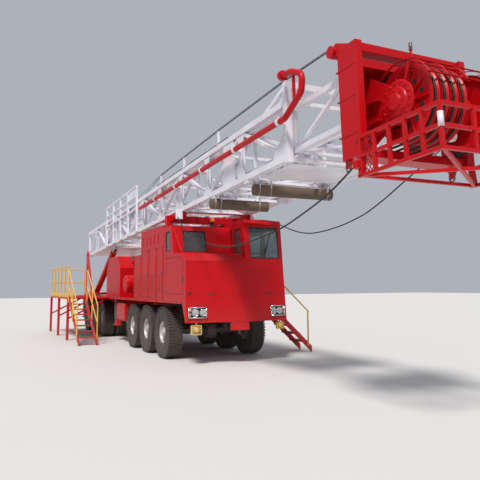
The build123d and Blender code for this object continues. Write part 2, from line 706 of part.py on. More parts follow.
def quarter_outline(x0, gap=0):
    """The (x, z) outline of a cab window whose front edge leans back as the windscreen does."""
    low, high = BELT_Z + 60 + gap, CAB_ROOF_Z - 190 - gap
    return [
        (x0 + gap, low), (CAB_FRONT_X - 60 - 2 * gap, low), (CAB_FRONT_X - 150 - 2 * gap, high),
        (x0 + gap, high),
    ]


def cab_door():
    """The cab's side door, with its window cut and its hinge leaves."""
    inner_y = DECK_HALF_Y - PANEL
    panel = block(DOOR_BACK_X, DOOR_FRONT_X, inner_y, DECK_HALF_Y, DOOR_LOW_Z, DOOR_TOP_Z)
    panel -= block(
        DOOR_BACK_X + 90, DOOR_FRONT_X - 90, inner_y - 10, DECK_HALF_Y + 10, BELT_Z + 60, DOOR_TOP_Z - 90,
    )
    grip_x, grip_y, grip_z = DOOR_BACK_X + 60, DECK_HALF_Y + 20, BELT_Z - 220
    handle = bar((grip_x, grip_y, grip_z), (grip_x + 140, grip_y, grip_z), 14, 30)
    foot = block(grip_x, grip_x + 30, DECK_HALF_Y - 5, grip_y + 5, grip_z - 15, grip_z + 15)
    return joined([panel, handle, foot] + [hinge_sleeve(z) for z in DOOR_HINGE_ZS])


def pane_in(x0, x1, y0, y1, z0, z1, across):
    """A pane that fills a window, all but a gap, flat across the x or the y axis."""
    gap = GLASS_GAP
    if across == "x":
        return block(x0, x1, y0 + gap, y1 - gap, z0 + gap, z1 - gap)
    return block(x0 + gap, x1 - gap, y0, y1, z0 + gap, z1 - gap)


def cab_glass():
    """The fixed panes, each set in the middle of its wall."""
    right_y = CAB_RIGHT_Y - 28
    left_y = DECK_HALF_Y - 26
    low, high = BELT_Z + 60, CAB_ROOF_Z - 190
    slant = atan2(SCREEN_RAKE, CAB_ROOF_Z - 120 - BELT_Z)
    screen_plane = Plane(
        origin=(CAB_FRONT_X + 31, sum(SCREEN_YS) / 2, (BELT_Z + CAB_ROOF_Z - 100) / 2),
        z_dir=(cos(slant), 0, sin(slant)), x_dir=(0, 1, 0),
    )
    screen = screen_plane * Box(SCREEN_YS[1] - SCREEN_YS[0] - 2 * GLASS_GAP, 758, GLASS_T)
    right = pane_in(*RIGHT_PANE_XS, right_y, right_y + GLASS_T, low, high, "y")
    quarter = side_profile(quarter_outline(QUARTER_X, GLASS_GAP), right_y, right_y + GLASS_T)
    left_quarter = side_profile(quarter_outline(DOOR_FRONT_X + 110, GLASS_GAP), left_y, left_y + GLASS_T)
    back_x = CAB_BACK_X + 20
    back = pane_in(back_x, back_x + GLASS_T, *BACK_PANE_YS, BELT_Z + 120, CAB_ROOF_Z - 220, "x")
    side_y = -DECK_HALF_Y + 20
    house_side = pane_in(
        HOUSE_BACK_X + 130, HOUSE_FRONT_X - 170, side_y, side_y + GLASS_T, HOOD_Z + 80, HOUSE_ROOF_Z - 130,
        "y",
    )
    lean = HOUSE_RAKE / (HOUSE_ROOF_Z - HOOD_Z)
    low_x = HOUSE_FRONT_X + HOUSE_RAKE - 60 - 60 * lean - 22
    high_x = HOUSE_FRONT_X - 60 + 110 * lean - 22
    low, high = HOOD_Z + 60 + GLASS_GAP, HOUSE_ROOF_Z - 110 - GLASS_GAP
    house = side_profile(
        [(low_x, low), (low_x + GLASS_T, low), (high_x + GLASS_T, high), (high_x, high)],
        HOUSE_PANE_YS[0] + GLASS_GAP, HOUSE_PANE_YS[1] - GLASS_GAP,
    )
    return [screen, right, quarter, left_quarter, back, house_side, house]


def cab_interior():
    """The driver's seat on its box, the dashboard, and the steering column and wheel."""
    floor = DECK_Z + 60
    seat_z = BELT_Z - 260
    side0, side1 = SEAT_Y - SEAT_HALF, SEAT_Y + SEAT_HALF
    cushion_top, back_top = seat_z + CUSHION_T, seat_z + BACK_TOP
    cushion = block(SEAT_BACK_X, SEAT_FRONT_X, side0, side1, seat_z + RUNNING_GAP, cushion_top)
    cushion = fillet(cushion.edges(), PAD_FILLET)
    behind = SEAT_BACK_X - RUNNING_GAP
    back = block(SEAT_BACK_X - BACK_T, behind, side0 + BACK_IN, side1 - BACK_IN, seat_z + BACK_LOW, back_top)
    back = fillet(back.edges(), PAD_FILLET)
    dash = side_profile([
        (DASH_BACK_X, floor + 380), (1380, floor + 380), (1380, BELT_Z + 40), (1270, BELT_Z + 90),
        (DASH_BACK_X, BELT_Z - 20),
    ], CAB_RIGHT_Y + 10, DECK_HALF_Y - PANEL - 10)
    leg = block(1300, 1380, CAB_RIGHT_Y + 60, DECK_HALF_Y - PANEL - 60, floor, floor + 400)
    hub_x, hub_y, hub_z = DASH_BACK_X - 300, SEAT_Y, BELT_Z + 130
    wheel_at = Plane(origin=(hub_x, hub_y, hub_z), z_dir=(-0.5, 0, 0.866), x_dir=(0, 1, 0))
    ring = wheel_at * Torus(210, 16)
    spokes = [wheel_at * Rot(0, 0, turn) * Pos(105, 0, 0) * Box(210, 26, 12) for turn in (90, 210, 330)]
    column = rod((hub_x, hub_y, hub_z), (hub_x + 250, hub_y, hub_z - 433), 28)
    brace = bar((DASH_BACK_X - 60, hub_y, hub_z - 410), (DASH_BACK_X, hub_y, hub_z - 410), 60)
    base = joined([
        block(SEAT_BACK_X + 30, SEAT_FRONT_X - 40, side0 + 30, side1 - 30, floor, seat_z),
        block(-170, -80, 700, 960, floor + 300, seat_z - 20),
        block(-222, -150, 700, 960, seat_z - 60, seat_z + 39.7),
    ])
    return [joined([dash, leg]), joined([ring, column, brace] + spokes), base, cushion, back]


# Engine and winch

def engine_enclosure():
    """The engine cover, open below, high in front and low behind, with a corner cut for the cab."""
    wall = COVER_WALL
    cover = side_profile([
        (ENGINE_BACK_X, DECK_Z), (ENGINE_FRONT_X, DECK_Z), (ENGINE_FRONT_X, ENGINE_HIGH_ROOF_Z),
        (ENGINE_STEP_X, ENGINE_HIGH_ROOF_Z), (ENGINE_STEP_X, ENGINE_LOW_ROOF_Z),
        (ENGINE_BACK_X, ENGINE_LOW_ROOF_Z),
    ], -ENGINE_HALF_Y, ENGINE_HALF_Y)
    hollow = side_profile([
        (ENGINE_BACK_X + wall, DECK_Z - 10), (ENGINE_FRONT_X - wall, DECK_Z - 10),
        (ENGINE_FRONT_X - wall, ENGINE_HIGH_ROOF_Z - wall), (ENGINE_STEP_X + wall, ENGINE_HIGH_ROOF_Z - wall),
        (ENGINE_STEP_X + wall, ENGINE_LOW_ROOF_Z - wall), (ENGINE_BACK_X + wall, ENGINE_LOW_ROOF_Z - wall),
    ], -ENGINE_HALF_Y + wall, ENGINE_HALF_Y - wall)
    corner_x, corner_y = CAB_BACK_X - 60, CAB_RIGHT_Y - 90
    corner = block(
        corner_x, ENGINE_FRONT_X + 10, corner_y, ENGINE_HALF_Y + 10, DECK_Z - 10, ENGINE_HIGH_ROOF_Z + 10,
    )
    lining = block(
        corner_x - wall, ENGINE_FRONT_X, corner_y - wall, ENGINE_HALF_Y, DECK_Z, ENGINE_HIGH_ROOF_Z,
    )
    cover = (cover - hollow).fuse(lining) - corner
    slot_pitch = (SLOT_XS[1] - SLOT_XS[0] - SLOT_WIDE) / (SLOT_COUNT - 1)
    for step in range(SLOT_COUNT):
        x = SLOT_XS[0] + step * slot_pitch
        cover -= block(x, x + SLOT_WIDE, -ENGINE_HALF_Y - 10, -ENGINE_HALF_Y + wall + 10, *SLOT_ZS)
        if x + SLOT_WIDE < corner_x - wall - 50:
            cover -= block(x, x + SLOT_WIDE, ENGINE_HALF_Y - wall - 10, ENGINE_HALF_Y + 10, *SLOT_ZS)
    return sliced(cover, (("x", corner_x, 1), ("x", ENGINE_STEP_X, -1)))


def engine_block():
    return block(-2850, -1150, -480, 480, DECK_Z, DECK_Z + 1050)


def drawworks_frame():
    """Two bored side plates on a skid, with guards and a chain case, round the winch drum."""
    pieces = []
    for s in (-1, 1):
        y = s * (DRUM_HALF_Y + 75)
        plate = side_profile([
            (DRUM_X - 1050, DECK_Z), (DRUM_X + 1050, DECK_Z), (DRUM_X + 1050, DECK_Z + 760),
            (DRUM_X + 620, DECK_Z + 1230), (DRUM_X - 620, DECK_Z + 1230), (DRUM_X - 1050, DECK_Z + 700),
        ], y - 30, y + 30)
        plate -= rot_y(Cylinder(90 + RUNNING_GAP, 200), y, DRUM_X, DRUM_Z)
        pieces.append(plate)
    for x, z in (
        (DRUM_X - 960, DECK_Z + 120), (DRUM_X + 960, DECK_Z + 120), (DRUM_X + 560, DECK_Z + 1150),
        (DRUM_X - 560, DECK_Z + 1150),
    ):
        pieces.append(cross_rod(x, -DRUM_HALF_Y - 60, DRUM_HALF_Y + 60, z, 70))
    case_y = -DRUM_HALF_Y - 105
    case = side_profile([
        (DRUM_X - 900, DECK_Z), (DRUM_X + 1100, DECK_Z), (DRUM_X + 1100, DECK_Z + 950),
        (DRUM_X + 700, DECK_Z + 1350), (DRUM_X - 500, DECK_Z + 1350), (DRUM_X - 900, DECK_Z + 900),
    ], -DECK_HALF_Y + 90, case_y)
    pieces.append(case)
    motor = cross_rod(DRUM_X, DRUM_HALF_Y + 106, DRUM_HALF_Y + 380, DRUM_Z, 260)
    stand = block(DRUM_X - 200, DRUM_X + 200, DRUM_HALF_Y + 106, DRUM_HALF_Y + 330, DECK_Z, DRUM_Z - 150)
    web = block(DRUM_X - 220, DRUM_X + 220, DRUM_HALF_Y + 100, DRUM_HALF_Y + 110, DECK_Z, DRUM_Z - 260)
    return joined(pieces + [motor.fuse(stand), web])


def drawworks_drum():
    """The winch drum: a barrel between two flanges on its shaft."""
    pieces = [cross_rod(DRUM_X, -DRUM_HALF_Y, DRUM_HALF_Y, DRUM_Z, DRUM_R)]
    for s in (-1, 1):
        y0, y1 = sorted((s * (DRUM_HALF_Y - 60), s * (DRUM_HALF_Y - 10)))
        pieces.append(cross_rod(DRUM_X, y0, y1, DRUM_Z, DRUM_FLANGE_R))
    pieces.append(cross_rod(DRUM_X, -DRUM_HALF_Y - 100, DRUM_HALF_Y + 100, DRUM_Z, 90))
    return joined(pieces)


# Mast

def lattice(u0, u1, half_y, depth, bays, chord, brace, v0=0):
    """Four chords with posts, cross members and diagonals, in the mast's frame."""
    y = half_y - chord / 2
    low = v0 + chord / 2
    top = v0 + depth - chord / 2
    flush = v0 + brace / 2
    pieces = []
    for side in (-y, y):
        for v in (low, top):
            pieces.append(bar((u0, side, v), (u1, side, v), chord))
    pitch = (u1 - u0 - chord) / bays
    stations = [u0 + chord / 2 + pitch * n for n in range(bays + 1)]
    for n, u in enumerate(stations):
        for side in (-y, y):
            pieces.append(bar((u, side, low), (u, side, top), brace))
        pieces.append(bar((u, -y, flush), (u, y, flush), brace))
        if n:
            back = stations[n - 1]
            for side in (-y, y):
                ends = ((back, side, low), (u, side, top)) if n % 2 else ((back, side, top), (u, side, low))
                pieces.append(bar(*ends, brace))
            ends = ((back, -y, flush), (u, y, flush)) if n % 2 else ((back, y, flush), (u, -y, flush))
            pieces.append(bar(*ends, brace * 0.8))
    return pieces, stations


def mast_lower():
    """The lower mast section: lattice, tall head frame, bored feet and plated tail."""
    pieces, stations = lattice(MAST_TAIL_U, MAST_HEAD_U, MAST_HALF_Y, MAST_DEPTH, MAST_BAYS, CHORD, BRACE)
    y = MAST_HALF_Y - CHORD / 2
    top = MAST_DEPTH - CHORD / 2
    for u in stations[2::2]:
        pieces.append(bar((u, -y, MAST_DEPTH - BRACE / 2), (u, y, MAST_DEPTH - BRACE / 2), BRACE))
    head = MAST_HEAD_U - CHORD / 2
    for side in (-y, y):
        pieces.append(bar((head, side, -30), (head, side, MAST_DEPTH + 250), CHORD))
    pieces.append(bar((head, -MAST_HALF_Y, MAST_DEPTH + 250), (head, MAST_HALF_Y, MAST_DEPTH + 250), CHORD))
    for side in (-y, y):
        pieces.append(bar((head - 900, side, top), (head, side, MAST_DEPTH + 250), 70))
    pieces.append(block(MAST_TAIL_U + 300, MAST_TAIL_U + 3900, -MAST_HALF_Y + 20, MAST_HALF_Y - 20, 2, 14))
    for u, reach in LOGS:
        for side in (-y, y):
            pieces.append(block(u - 90, u + 90, side - 50, side + 50, -LOG_DROP, 10))
    for side in (-CYL_Y, CYL_Y):
        for edge in (-1, 1):
            cheek = block(
                CYL_PIN_U - 90, CYL_PIN_U + 90, side + edge * 75 - 15, side + edge * 75 + 15,
                CYL_PIN_V - 75, 40,
            )
            pieces += [cheek, rot_y(Cylinder(PIN_R, 40), side + edge * 95, CYL_PIN_U, CYL_PIN_V)]
    beam = bar((CYL_PIN_U, -y, BRACE / 2), (CYL_PIN_U, y, BRACE / 2), CHORD, BRACE)
    for v in (0, MAST_DEPTH - CHORD):
        guide0, guide1 = v + GUIDE_V, v + GUIDE_V + INNER_CHORD
        if v:
            guide0, guide1 = v - GUIDE_V + CHORD - INNER_CHORD, v - GUIDE_V + CHORD
        for s in (-1, 1):
            y0, y1 = sorted((s * (MAST_HALF_Y - GUIDE_V + RUNNING_GAP), s * (MAST_HALF_Y - CHORD / 2)))
            pieces.append(block(head - 160, head, y0, y1, guide0, guide1))
    for s in (-1, 1):
        y0, y1 = sorted((s * (MAST_HALF_Y - 20), s * (GUY_Y + 40)))
        pieces.append(block(GUY_LUG_U - 30, GUY_LUG_U, y0, y1, -GUY_LUG_DROP - 45, 60))
    body = joined(pieces + [beam])
    eyes = [rot_y(Cylinder(PIN_R + RUNNING_GAP, 200), side, 0, CHORD / 2) for side in (-y, y)]
    return on_mast(body - eyes[0] - eyes[1])


def mast_upper():
    """The upper mast section, which lies inside the lower one and slides out of it."""
    inset = GUIDE_V
    pieces, stations = lattice(
        INNER_TAIL_U, INNER_HEAD_U, MAST_HALF_Y - inset, MAST_DEPTH - 2 * inset, INNER_BAYS, INNER_CHORD,
        55, inset,
    )
    y = MAST_HALF_Y - inset - INNER_CHORD / 2
    top = MAST_DEPTH - inset - INNER_CHORD / 2
    for u in (stations[0], stations[-1]):
        pieces.append(bar((u, -y, top), (u, y, top), 55))
    shoe = 200
    for s in (-1, 1):
        y0, y1 = sorted((s * y, s * (MAST_HALF_Y - CHORD - RUNNING_GAP)))
        pieces.append(block(INNER_TAIL_U, INNER_TAIL_U + shoe, y0, y1, BRACE + 8, inset + 20))
        pieces.append(
            block(INNER_TAIL_U, INNER_TAIL_U + shoe, y0, y1, MAST_DEPTH - inset - 20, MAST_DEPTH - BRACE - 8)
        )
    return on_mast(joined(pieces))


def timbers():
    """Two round timbers strapped across under the mast."""
    logs = [cross_rod(u, reach[0], reach[1], -LOG_DROP - RUNNING_GAP - LOG_R, LOG_R) for u, reach in LOGS]
    return [on_mast(log) for log in logs]


def standpipe():
    """The pipe along the right of the mast, with its hooked end at the front."""
    y = -MAST_HALF_Y - 120
    points = [
        (8850, y, 640), (17650, y, 640), (18180, y, 900), (18230, y, 1180), (17900, y, 1340),
        (17620, y, 1380),
    ]
    line = FilletPolyline(*points, radius=160)
    pipe = sweep(Plane(origin=line @ 0, z_dir=line % 0) * Circle(52), path=line)
    flange = rod((17650, y, 1375), (17590, y, 1384), 85)
    brace = bar((17960, y, 740), (17960, y, 1320), 40)
    pieces = [pipe, flange, brace]
    pitch = (MAST_HEAD_U - MAST_TAIL_U - CHORD) / MAST_BAYS
    for n in range(6, MAST_BAYS + 1):
        u = MAST_TAIL_U + CHORD / 2 + pitch * n
        inward = POST_IN if n < MAST_BAYS else 0
        pieces.append(block(u - 30, u + 30, y, -MAST_HALF_Y + inward - RUNNING_GAP, 600, 680))
    return on_mast(joined(pieces))


def monkey_board():
    """The working board's rail frame, folded up against the right of the mast."""
    y = -MAST_HALF_Y - 30 - RUNNING_GAP
    pieces = []
    for n in range(5):
        u = BOARD_U0 + (BOARD_U1 - BOARD_U0) * n / 4
        pieces.append(bar((u, y, 30), (u, y, 1480), 60))
        pieces.append(
            side_profile([(u - 160, 20), (u + 160, 20), (u + 30, 260), (u - 30, 260)], y - 8, y + 8)
        )
    for v in (760, 1150, 1480):
        pieces.append(bar((BOARD_U0 - 30, y, v), (BOARD_U1 + 30, y, v), 50))
    pieces.append(block(BOARD_U1 - 900, BOARD_U1, y - 6, y + 6, 1150, 1480))
    return on_mast(joined(pieces))


def crown_frame():
    """The crown: a column frame on the mast's head, cheeks with the sheave shaft, and the cage."""
    pieces = []
    for s in (-1, 1):
        y0, y1 = s * COLUMN_Y - COLUMN_HALF, s * COLUMN_Y + COLUMN_HALF
        pieces.append(block(CROWN_U, COLUMN_END_U, y0, y1, COLUMN_LOW_V, COLUMN_TOP_V))
    for v, reach in ((-360, 360), (300, 200), (900, 360), (1130, 360)):
        pieces.append(block(CROWN_U + 60, CROWN_U + reach, -900, 900, v - 60, v + 60))
    lug_y = COLUMN_Y + LUG_START
    pieces.append(block(CAGE_LUG_U, COLUMN_END_U, -GUY_Y - 35, -lug_y, CAGE_LUG_V - 50, CAGE_LUG_V + 50))
    pieces.append(
        block(COLUMN_LUG_U, COLUMN_LUG_U + 60, lug_y, GUY_Y + 45, COLUMN_LUG_V - 50, COLUMN_LUG_V + 50)
    )
    pieces.append(block(CROWN_U, CROWN_U + 60, -900, 900, 60, 960))
    for y in CHEEKS:
        cheek = side_profile([
            (CROWN_U + 50, -330), (SHEAVE_U, SHEAVE_V - 200), (SHEAVE_U, SHEAVE_V + 200), (CROWN_U + 50, 860),
        ], y - 15, y + 15)
        pieces += [cheek, rot_y(Cylinder(200, 30), y, SHEAVE_U, SHEAVE_V)]
    pieces.append(cross_rod(SHEAVE_U, CHEEKS[0] - 60, 960, SHEAVE_V, SHEAVE_SHAFT_R))
    lug = side_profile([
        (CROWN_U + 60, 1150), (CROWN_U + 360, 1150), (CROWN_U - 40, 1330), (CROWN_U - 190, 1250),
        (CROWN_U - 190, 1150),
    ], -990, -930)
    pieces += [lug, cross_rod(CROWN_U - 120, -1040, -900, 1220, 90)]
    return on_mast(joined(pieces + cage()))


def cage():
    """The railed walkway that hangs in front of the crown."""
    u0 = CROWN_U + 400
    y = 1000
    tube = 44
    pieces = []
    for s in (-1, 1):
        for v in (CAGE_LOW_V, (CAGE_LOW_V + CAGE_TOP_V) / 2, CAGE_TOP_V):
            pieces.append(bar((u0 - 60, s * y, v), (CAGE_END_U, s * y, v), tube))
        for n in range(6):
            u = u0 + (CAGE_END_U - tube / 2 - u0) * n / 5
            pieces.append(bar((u, s * y, CAGE_LOW_V), (u, s * y, CAGE_TOP_V), tube))
        pieces.append(bar((u0, s * y, CAGE_LOW_V), (u0, s * 960, -380), 70))
    end = CAGE_END_U - tube / 2
    for v in (CAGE_LOW_V, (CAGE_LOW_V + CAGE_TOP_V) / 2, CAGE_TOP_V):
        pieces.append(bar((end, -y, v), (end, y, v), tube))
    for n in range(1, 4):
        post = -y + 2 * y * n / 4
        pieces.append(bar((end, post, CAGE_LOW_V), (end, post, CAGE_TOP_V), tube))
    pieces.append(bar((u0, -y, CAGE_LOW_V), (u0, y, CAGE_LOW_V), tube))
    pieces.append(bar((u0, -y, CAGE_LOW_V), (end, y, CAGE_LOW_V), tube))
    pieces.append(bar((u0, y, CAGE_LOW_V), (end, -y, CAGE_LOW_V), tube))
    return pieces


def crown_sheaves():
    """Six grooved sheaves on one shaft, in two groups."""
    half = 55
    wheel = Polygon(
        (SHEAVE_SHAFT_R + RUNNING_GAP, -SHEAVE_PITCH / 2 + 8), (150, -SHEAVE_PITCH / 2 + 8), (150, -18),
        (SHEAVE_R - 90, -18), (SHEAVE_R - 60, -half), (SHEAVE_R, -half), (SHEAVE_R - 45, 0), (SHEAVE_R, half),
        (SHEAVE_R - 60, half), (SHEAVE_R - 90, 18), (150, 18), (150, SHEAVE_PITCH / 2 - 8),
        (SHEAVE_SHAFT_R + RUNNING_GAP, SHEAVE_PITCH / 2 - 8), align=None,
    )
    turned = revolve(wheel, axis=Axis.Y)
    return [on_mast(Pos(SHEAVE_U, y, SHEAVE_V) * turned) for y in SHEAVE_ROWS]


# Mast stands and raising cylinders

def mast_stands():
    """The front rest between house and engine cover, and the bored rear stand with its pins."""
    posts = [
        block(REST_X0, REST_X1, -1190, -1040, DECK_Z, 3420),
        block(REST_X0, REST_X1, 40, 190, DECK_Z, 3420),
    ]
    beam = block(REST_X0, REST_X1, -1190, 1060, 3340, 3500)
    saddles = [block(-440, 430, s * 920 - 130, s * 920 + 130, 3400, 3700) for s in (-1, 1)]
    ribs = [
        side_profile(
            [(-440, 3400), (430, 3400), (REST_X1, 3340), (REST_X1, 3190), (REST_X0, 3190), (REST_X0, 3340)],
            -1130, -1100,
        ),
    ]
    above = on_mast(block(0, 20000, -3000, 3000, -RUNNING_GAP, 3000))
    front = joined(posts + [beam] + saddles + ribs) - above
    pivot_x, pivot_z = mast_point(0, CHORD / 2)
    rear = []
    for s in (-1, 1):
        y = s * (MAST_HALF_Y + 45)
        leg = side_profile([
            (pivot_x - 180, DECK_Z), (pivot_x + 1350, DECK_Z), (pivot_x + 1350, DECK_Z + 90),
            (pivot_x + 160, pivot_z + 60), (pivot_x + 60, pivot_z + 160), (pivot_x - 90, pivot_z + 130),
            (pivot_x - 180, pivot_z),
        ], y - 20, y + 20)
        window = side_profile(
            [(pivot_x - 40, DECK_Z + 160), (pivot_x + 980, DECK_Z + 160), (pivot_x - 40, pivot_z - 330)],
            y - 40, y + 40,
        )
        rear.append(leg - window)
        y0, y1 = sorted((s * (MAST_HALF_Y - CHORD - 4), s * (MAST_HALF_Y + 90)))
        rear.append(cross_rod(pivot_x, y0, y1, pivot_z, PIN_R))
        foot0, foot1 = sorted((s * (MAST_HALF_Y - 60), s * (MAST_HALF_Y + 120)))
        rear.append(block(pivot_x - 200, pivot_x + 1360, foot0, foot1, DECK_Z, DECK_Z + 40))
    for x in (pivot_x - 130, pivot_x + 1290):
        rear.append(cross_rod(x, -MAST_HALF_Y - 30, MAST_HALF_Y + 30, DECK_Z + 70, 40))
    ears = []
    for side in (-CYL_Y, CYL_Y):
        for edge in (-1, 1):
            ears.append(side_profile([
                (CYL_BASE_X - 150, DECK_Z), (CYL_BASE_X + 150, DECK_Z), (CYL_BASE_X + 60, CYL_BASE_Z + 80),
                (CYL_BASE_X - 60, CYL_BASE_Z + 80),
            ], side + edge * 75 - 15, side + edge * 75 + 15))
        ears.append(rot_y(Cylinder(PIN_R, 200), side, CYL_BASE_X, CYL_BASE_Z))
        ears.append(block(CYL_BASE_X - 170, CYL_BASE_X + 170, side - 110, side + 110, DECK_Z, DECK_Z + 20))
    return [front, joined(rear)] + [joined(ears[n:n + 4]) for n in (0, 4)]


CYL_TOP_X, CYL_TOP_Z = mast_point(CYL_PIN_U, CYL_PIN_V)
CYL_LENGTH = hypot(CYL_TOP_X - CYL_BASE_X, CYL_TOP_Z - CYL_BASE_Z)
CYL_ANGLE = degrees(atan2(CYL_TOP_Z - CYL_BASE_Z, CYL_TOP_X - CYL_BASE_X))
BARREL_LENGTH = CYL_LENGTH - 260


def cylinder_place(shape, side):
    """A shape made along X from the cylinder's base pin, laid between its two pins."""
    return Pos(CYL_BASE_X, side, CYL_BASE_Z) * Rot(0, -CYL_ANGLE, 0) * shape


def cylinder_barrels():
    """The two barrels, bored for their rods and eyed at the base."""
    tube = rod((130, 0, 0), (BARREL_LENGTH, 0, 0), BARREL_R)
    tube -= rod((190, 0, 0), (BARREL_LENGTH + 10, 0, 0), ROD_R + RUNNING_GAP)
    eye = rot_y(Cylinder(85, 110), 0)
    neck = block(0, 160, -50, 50, -60, 60)
    barrel = joined([tube, eye, neck]) - rot_y(Cylinder(PIN_R + RUNNING_GAP, 200), 0)
    return [cylinder_place(barrel, side) for side in (-CYL_Y, CYL_Y)]


def cylinder_rods():
    """The two rods, each with its eye on the mast's pin."""
    shaft = rod((250, 0, 0), (CYL_LENGTH - 175, 0, 0), ROD_R)
    neck = block(CYL_LENGTH - 185, CYL_LENGTH - 30, -50, 50, -60, 60)
    eye = rot_y(Cylinder(80, 110), 0, CYL_LENGTH)
    bored = joined([shaft, neck, eye]) - rot_y(Cylinder(PIN_R + 3, 200), 0, CYL_LENGTH)
    return [cylinder_place(bored, side) for side in (-CYL_Y, CYL_Y)]


# Stairs, platform and handrails

def flight(top, foot, across, treads):
    """Two stringers and their treads, from the top corner to the foot corner."""
    top, foot, across = Vector(*top), Vector(*foot), Vector(*across)
    wide = STRINGER_WIDE
    pieces = []
    run = foot - top
    for edge in (top, top + across):
        pieces.append((edge, edge + run))
    solids = []
    for a, b in pieces:
        tall = Vector(0, 0, STRINGER_TALL)
        outline = Polyline(tuple(a), tuple(b), tuple(b + tall), tuple(a + tall), close=True)
        face = make_face(outline)
        step = across.normalized() * wide
        solid = extrude(face, amount=wide, dir=tuple(step.normalized()))
        if (a - top).length > 1:
            solid = solid.moved(Location(tuple(-step)))
        solids.append(solid)
    for n in range(1, treads + 1):
        centre = top + across / 2 + run * (n / (treads + 1)) + Vector(0, 0, 70)
        plane = Plane(origin=tuple(centre), x_dir=tuple(across.normalized()), z_dir=(0, 0, 1))
        solids.append(plane * Box(across.length - wide, 230, 30))
    return joined(solids)


def access_stairs():
    """The rear platform with its stair, and the ladder to the cab."""
    y_in = DECK_HALF_Y + 0.3
    y_out = STAIR_OUT_Y
    floor = block(PLATFORM_BACK_X, STAIR_TOP_X, -y_out, -y_in, DECK_Z - 60, DECK_Z)
    stair = flight(
        (STAIR_TOP_X, STAIR_Y, DECK_Z - STAIR_DROP), (STAIR_FOOT_X, STAIR_Y, 0), (0, STAIR_WIDTH, 0), 7,
    )
    legs = []
    for x in (PLATFORM_BACK_X + 60, (PLATFORM_BACK_X + STAIR_TOP_X) / 2, STAIR_TOP_X - 60):
        legs.append(bar((x, -y_out + 40, 0), (x, -y_out + 40, DECK_Z - 50), 80))
        legs.append(bar((x, -y_out + 40, 700), (x, -WHEEL_FACE_Y - 120, DECK_Z - 90), 50))
    ladder = flight(
        (LADDER_X0, DECK_HALF_Y + 4, DECK_Z - LADDER_DROP), (LADDER_X0, STAIR_OUT_Y, 0),
        (LADDER_X1 - LADDER_X0, 0, 0), 5,
    )
    lip = block(LADDER_X0, LADDER_X1, DECK_HALF_Y + 0.3, DECK_HALF_Y + 60, DECK_Z - 70, DECK_Z - 20)
    return [joined([floor, stair] + legs), ladder.fuse(lip)]


def handrails():
    """The rails of the platform, of its stair and of the cab's ladder."""
    y = -STAIR_OUT_Y + 30
    floor = DECK_Z + 0.3
    x0, x1 = PLATFORM_BACK_X + 40, STAIR_TOP_X - 40
    pieces = []
    posts = 6
    for n in range(posts):
        x = x0 + (x1 - x0) * n / (posts - 1)
        pieces.append(rod((x, y, floor), (x, y, floor + RAIL_H), TUBE_R))
    for z in (floor + RAIL_H / 2, floor + RAIL_H):
        pieces.append(rod((x0, y, z), (x1, y, z), RAIL_TUBE_R))
        pieces.append(rod((x0, y, z), (x0, -DECK_HALF_Y - 60, z), RAIL_TUBE_R))
    pieces.append(rod((x0, -DECK_HALF_Y - 60, floor), (x0, -DECK_HALF_Y - 60, floor + RAIL_H), TUBE_R))
    pieces.append(block(x0, x1, y - 5, y + 5, floor, floor + 140))
    rails = [joined(pieces)]
    drop = (DECK_Z - STAIR_DROP) / (STAIR_FOOT_X - STAIR_TOP_X)
    for edge in (STAIR_Y - TUBE_R - RUNNING_GAP, STAIR_Y + STAIR_WIDTH + TUBE_R + RUNNING_GAP):
        tops = []
        parts = []
        for x in (STAIR_TOP_X + 120, (STAIR_TOP_X + STAIR_FOOT_X) / 2, STAIR_FOOT_X - 160):
            base = DECK_Z - STAIR_DROP - drop * (x - STAIR_TOP_X) + 30
            parts.append(rod((x, edge, base), (x, edge, base + RAIL_H), TUBE_R))
            tops.append((x, edge, base + RAIL_H))
        first, last = Vector(*tops[0]), Vector(*tops[-1])
        past = (last - first).normalized() * RAIL_END
        for below in (Vector(0, 0, 0), Vector(0, 0, -RAIL_H / 2)):
            parts.append(rod(tuple(first - past + below), tuple(last + past + below), RAIL_TUBE_R))
        rails.append(joined(parts))
    fall = (DECK_Z - LADDER_DROP) / (STAIR_OUT_Y - DECK_HALF_Y - 4)
    x = LADDER_X1 + TUBE_R + 0.3
    parts = []
    tops = []
    for y in (DECK_HALF_Y + 130, STAIR_OUT_Y - 120):
        base = DECK_Z - LADDER_DROP - fall * (y - DECK_HALF_Y - 4) + 60
        parts.append(rod((x, y, base), (x, y, base + 900), TUBE_R))
        tops.append((x, y, base + 900))
    past = (Vector(*tops[1]) - Vector(*tops[0])).normalized() * RAIL_END
    parts.append(rod(tuple(Vector(*tops[0]) - past), tuple(Vector(*tops[1]) + past), RAIL_TUBE_R))
    rails.append(joined(parts))
    return rails


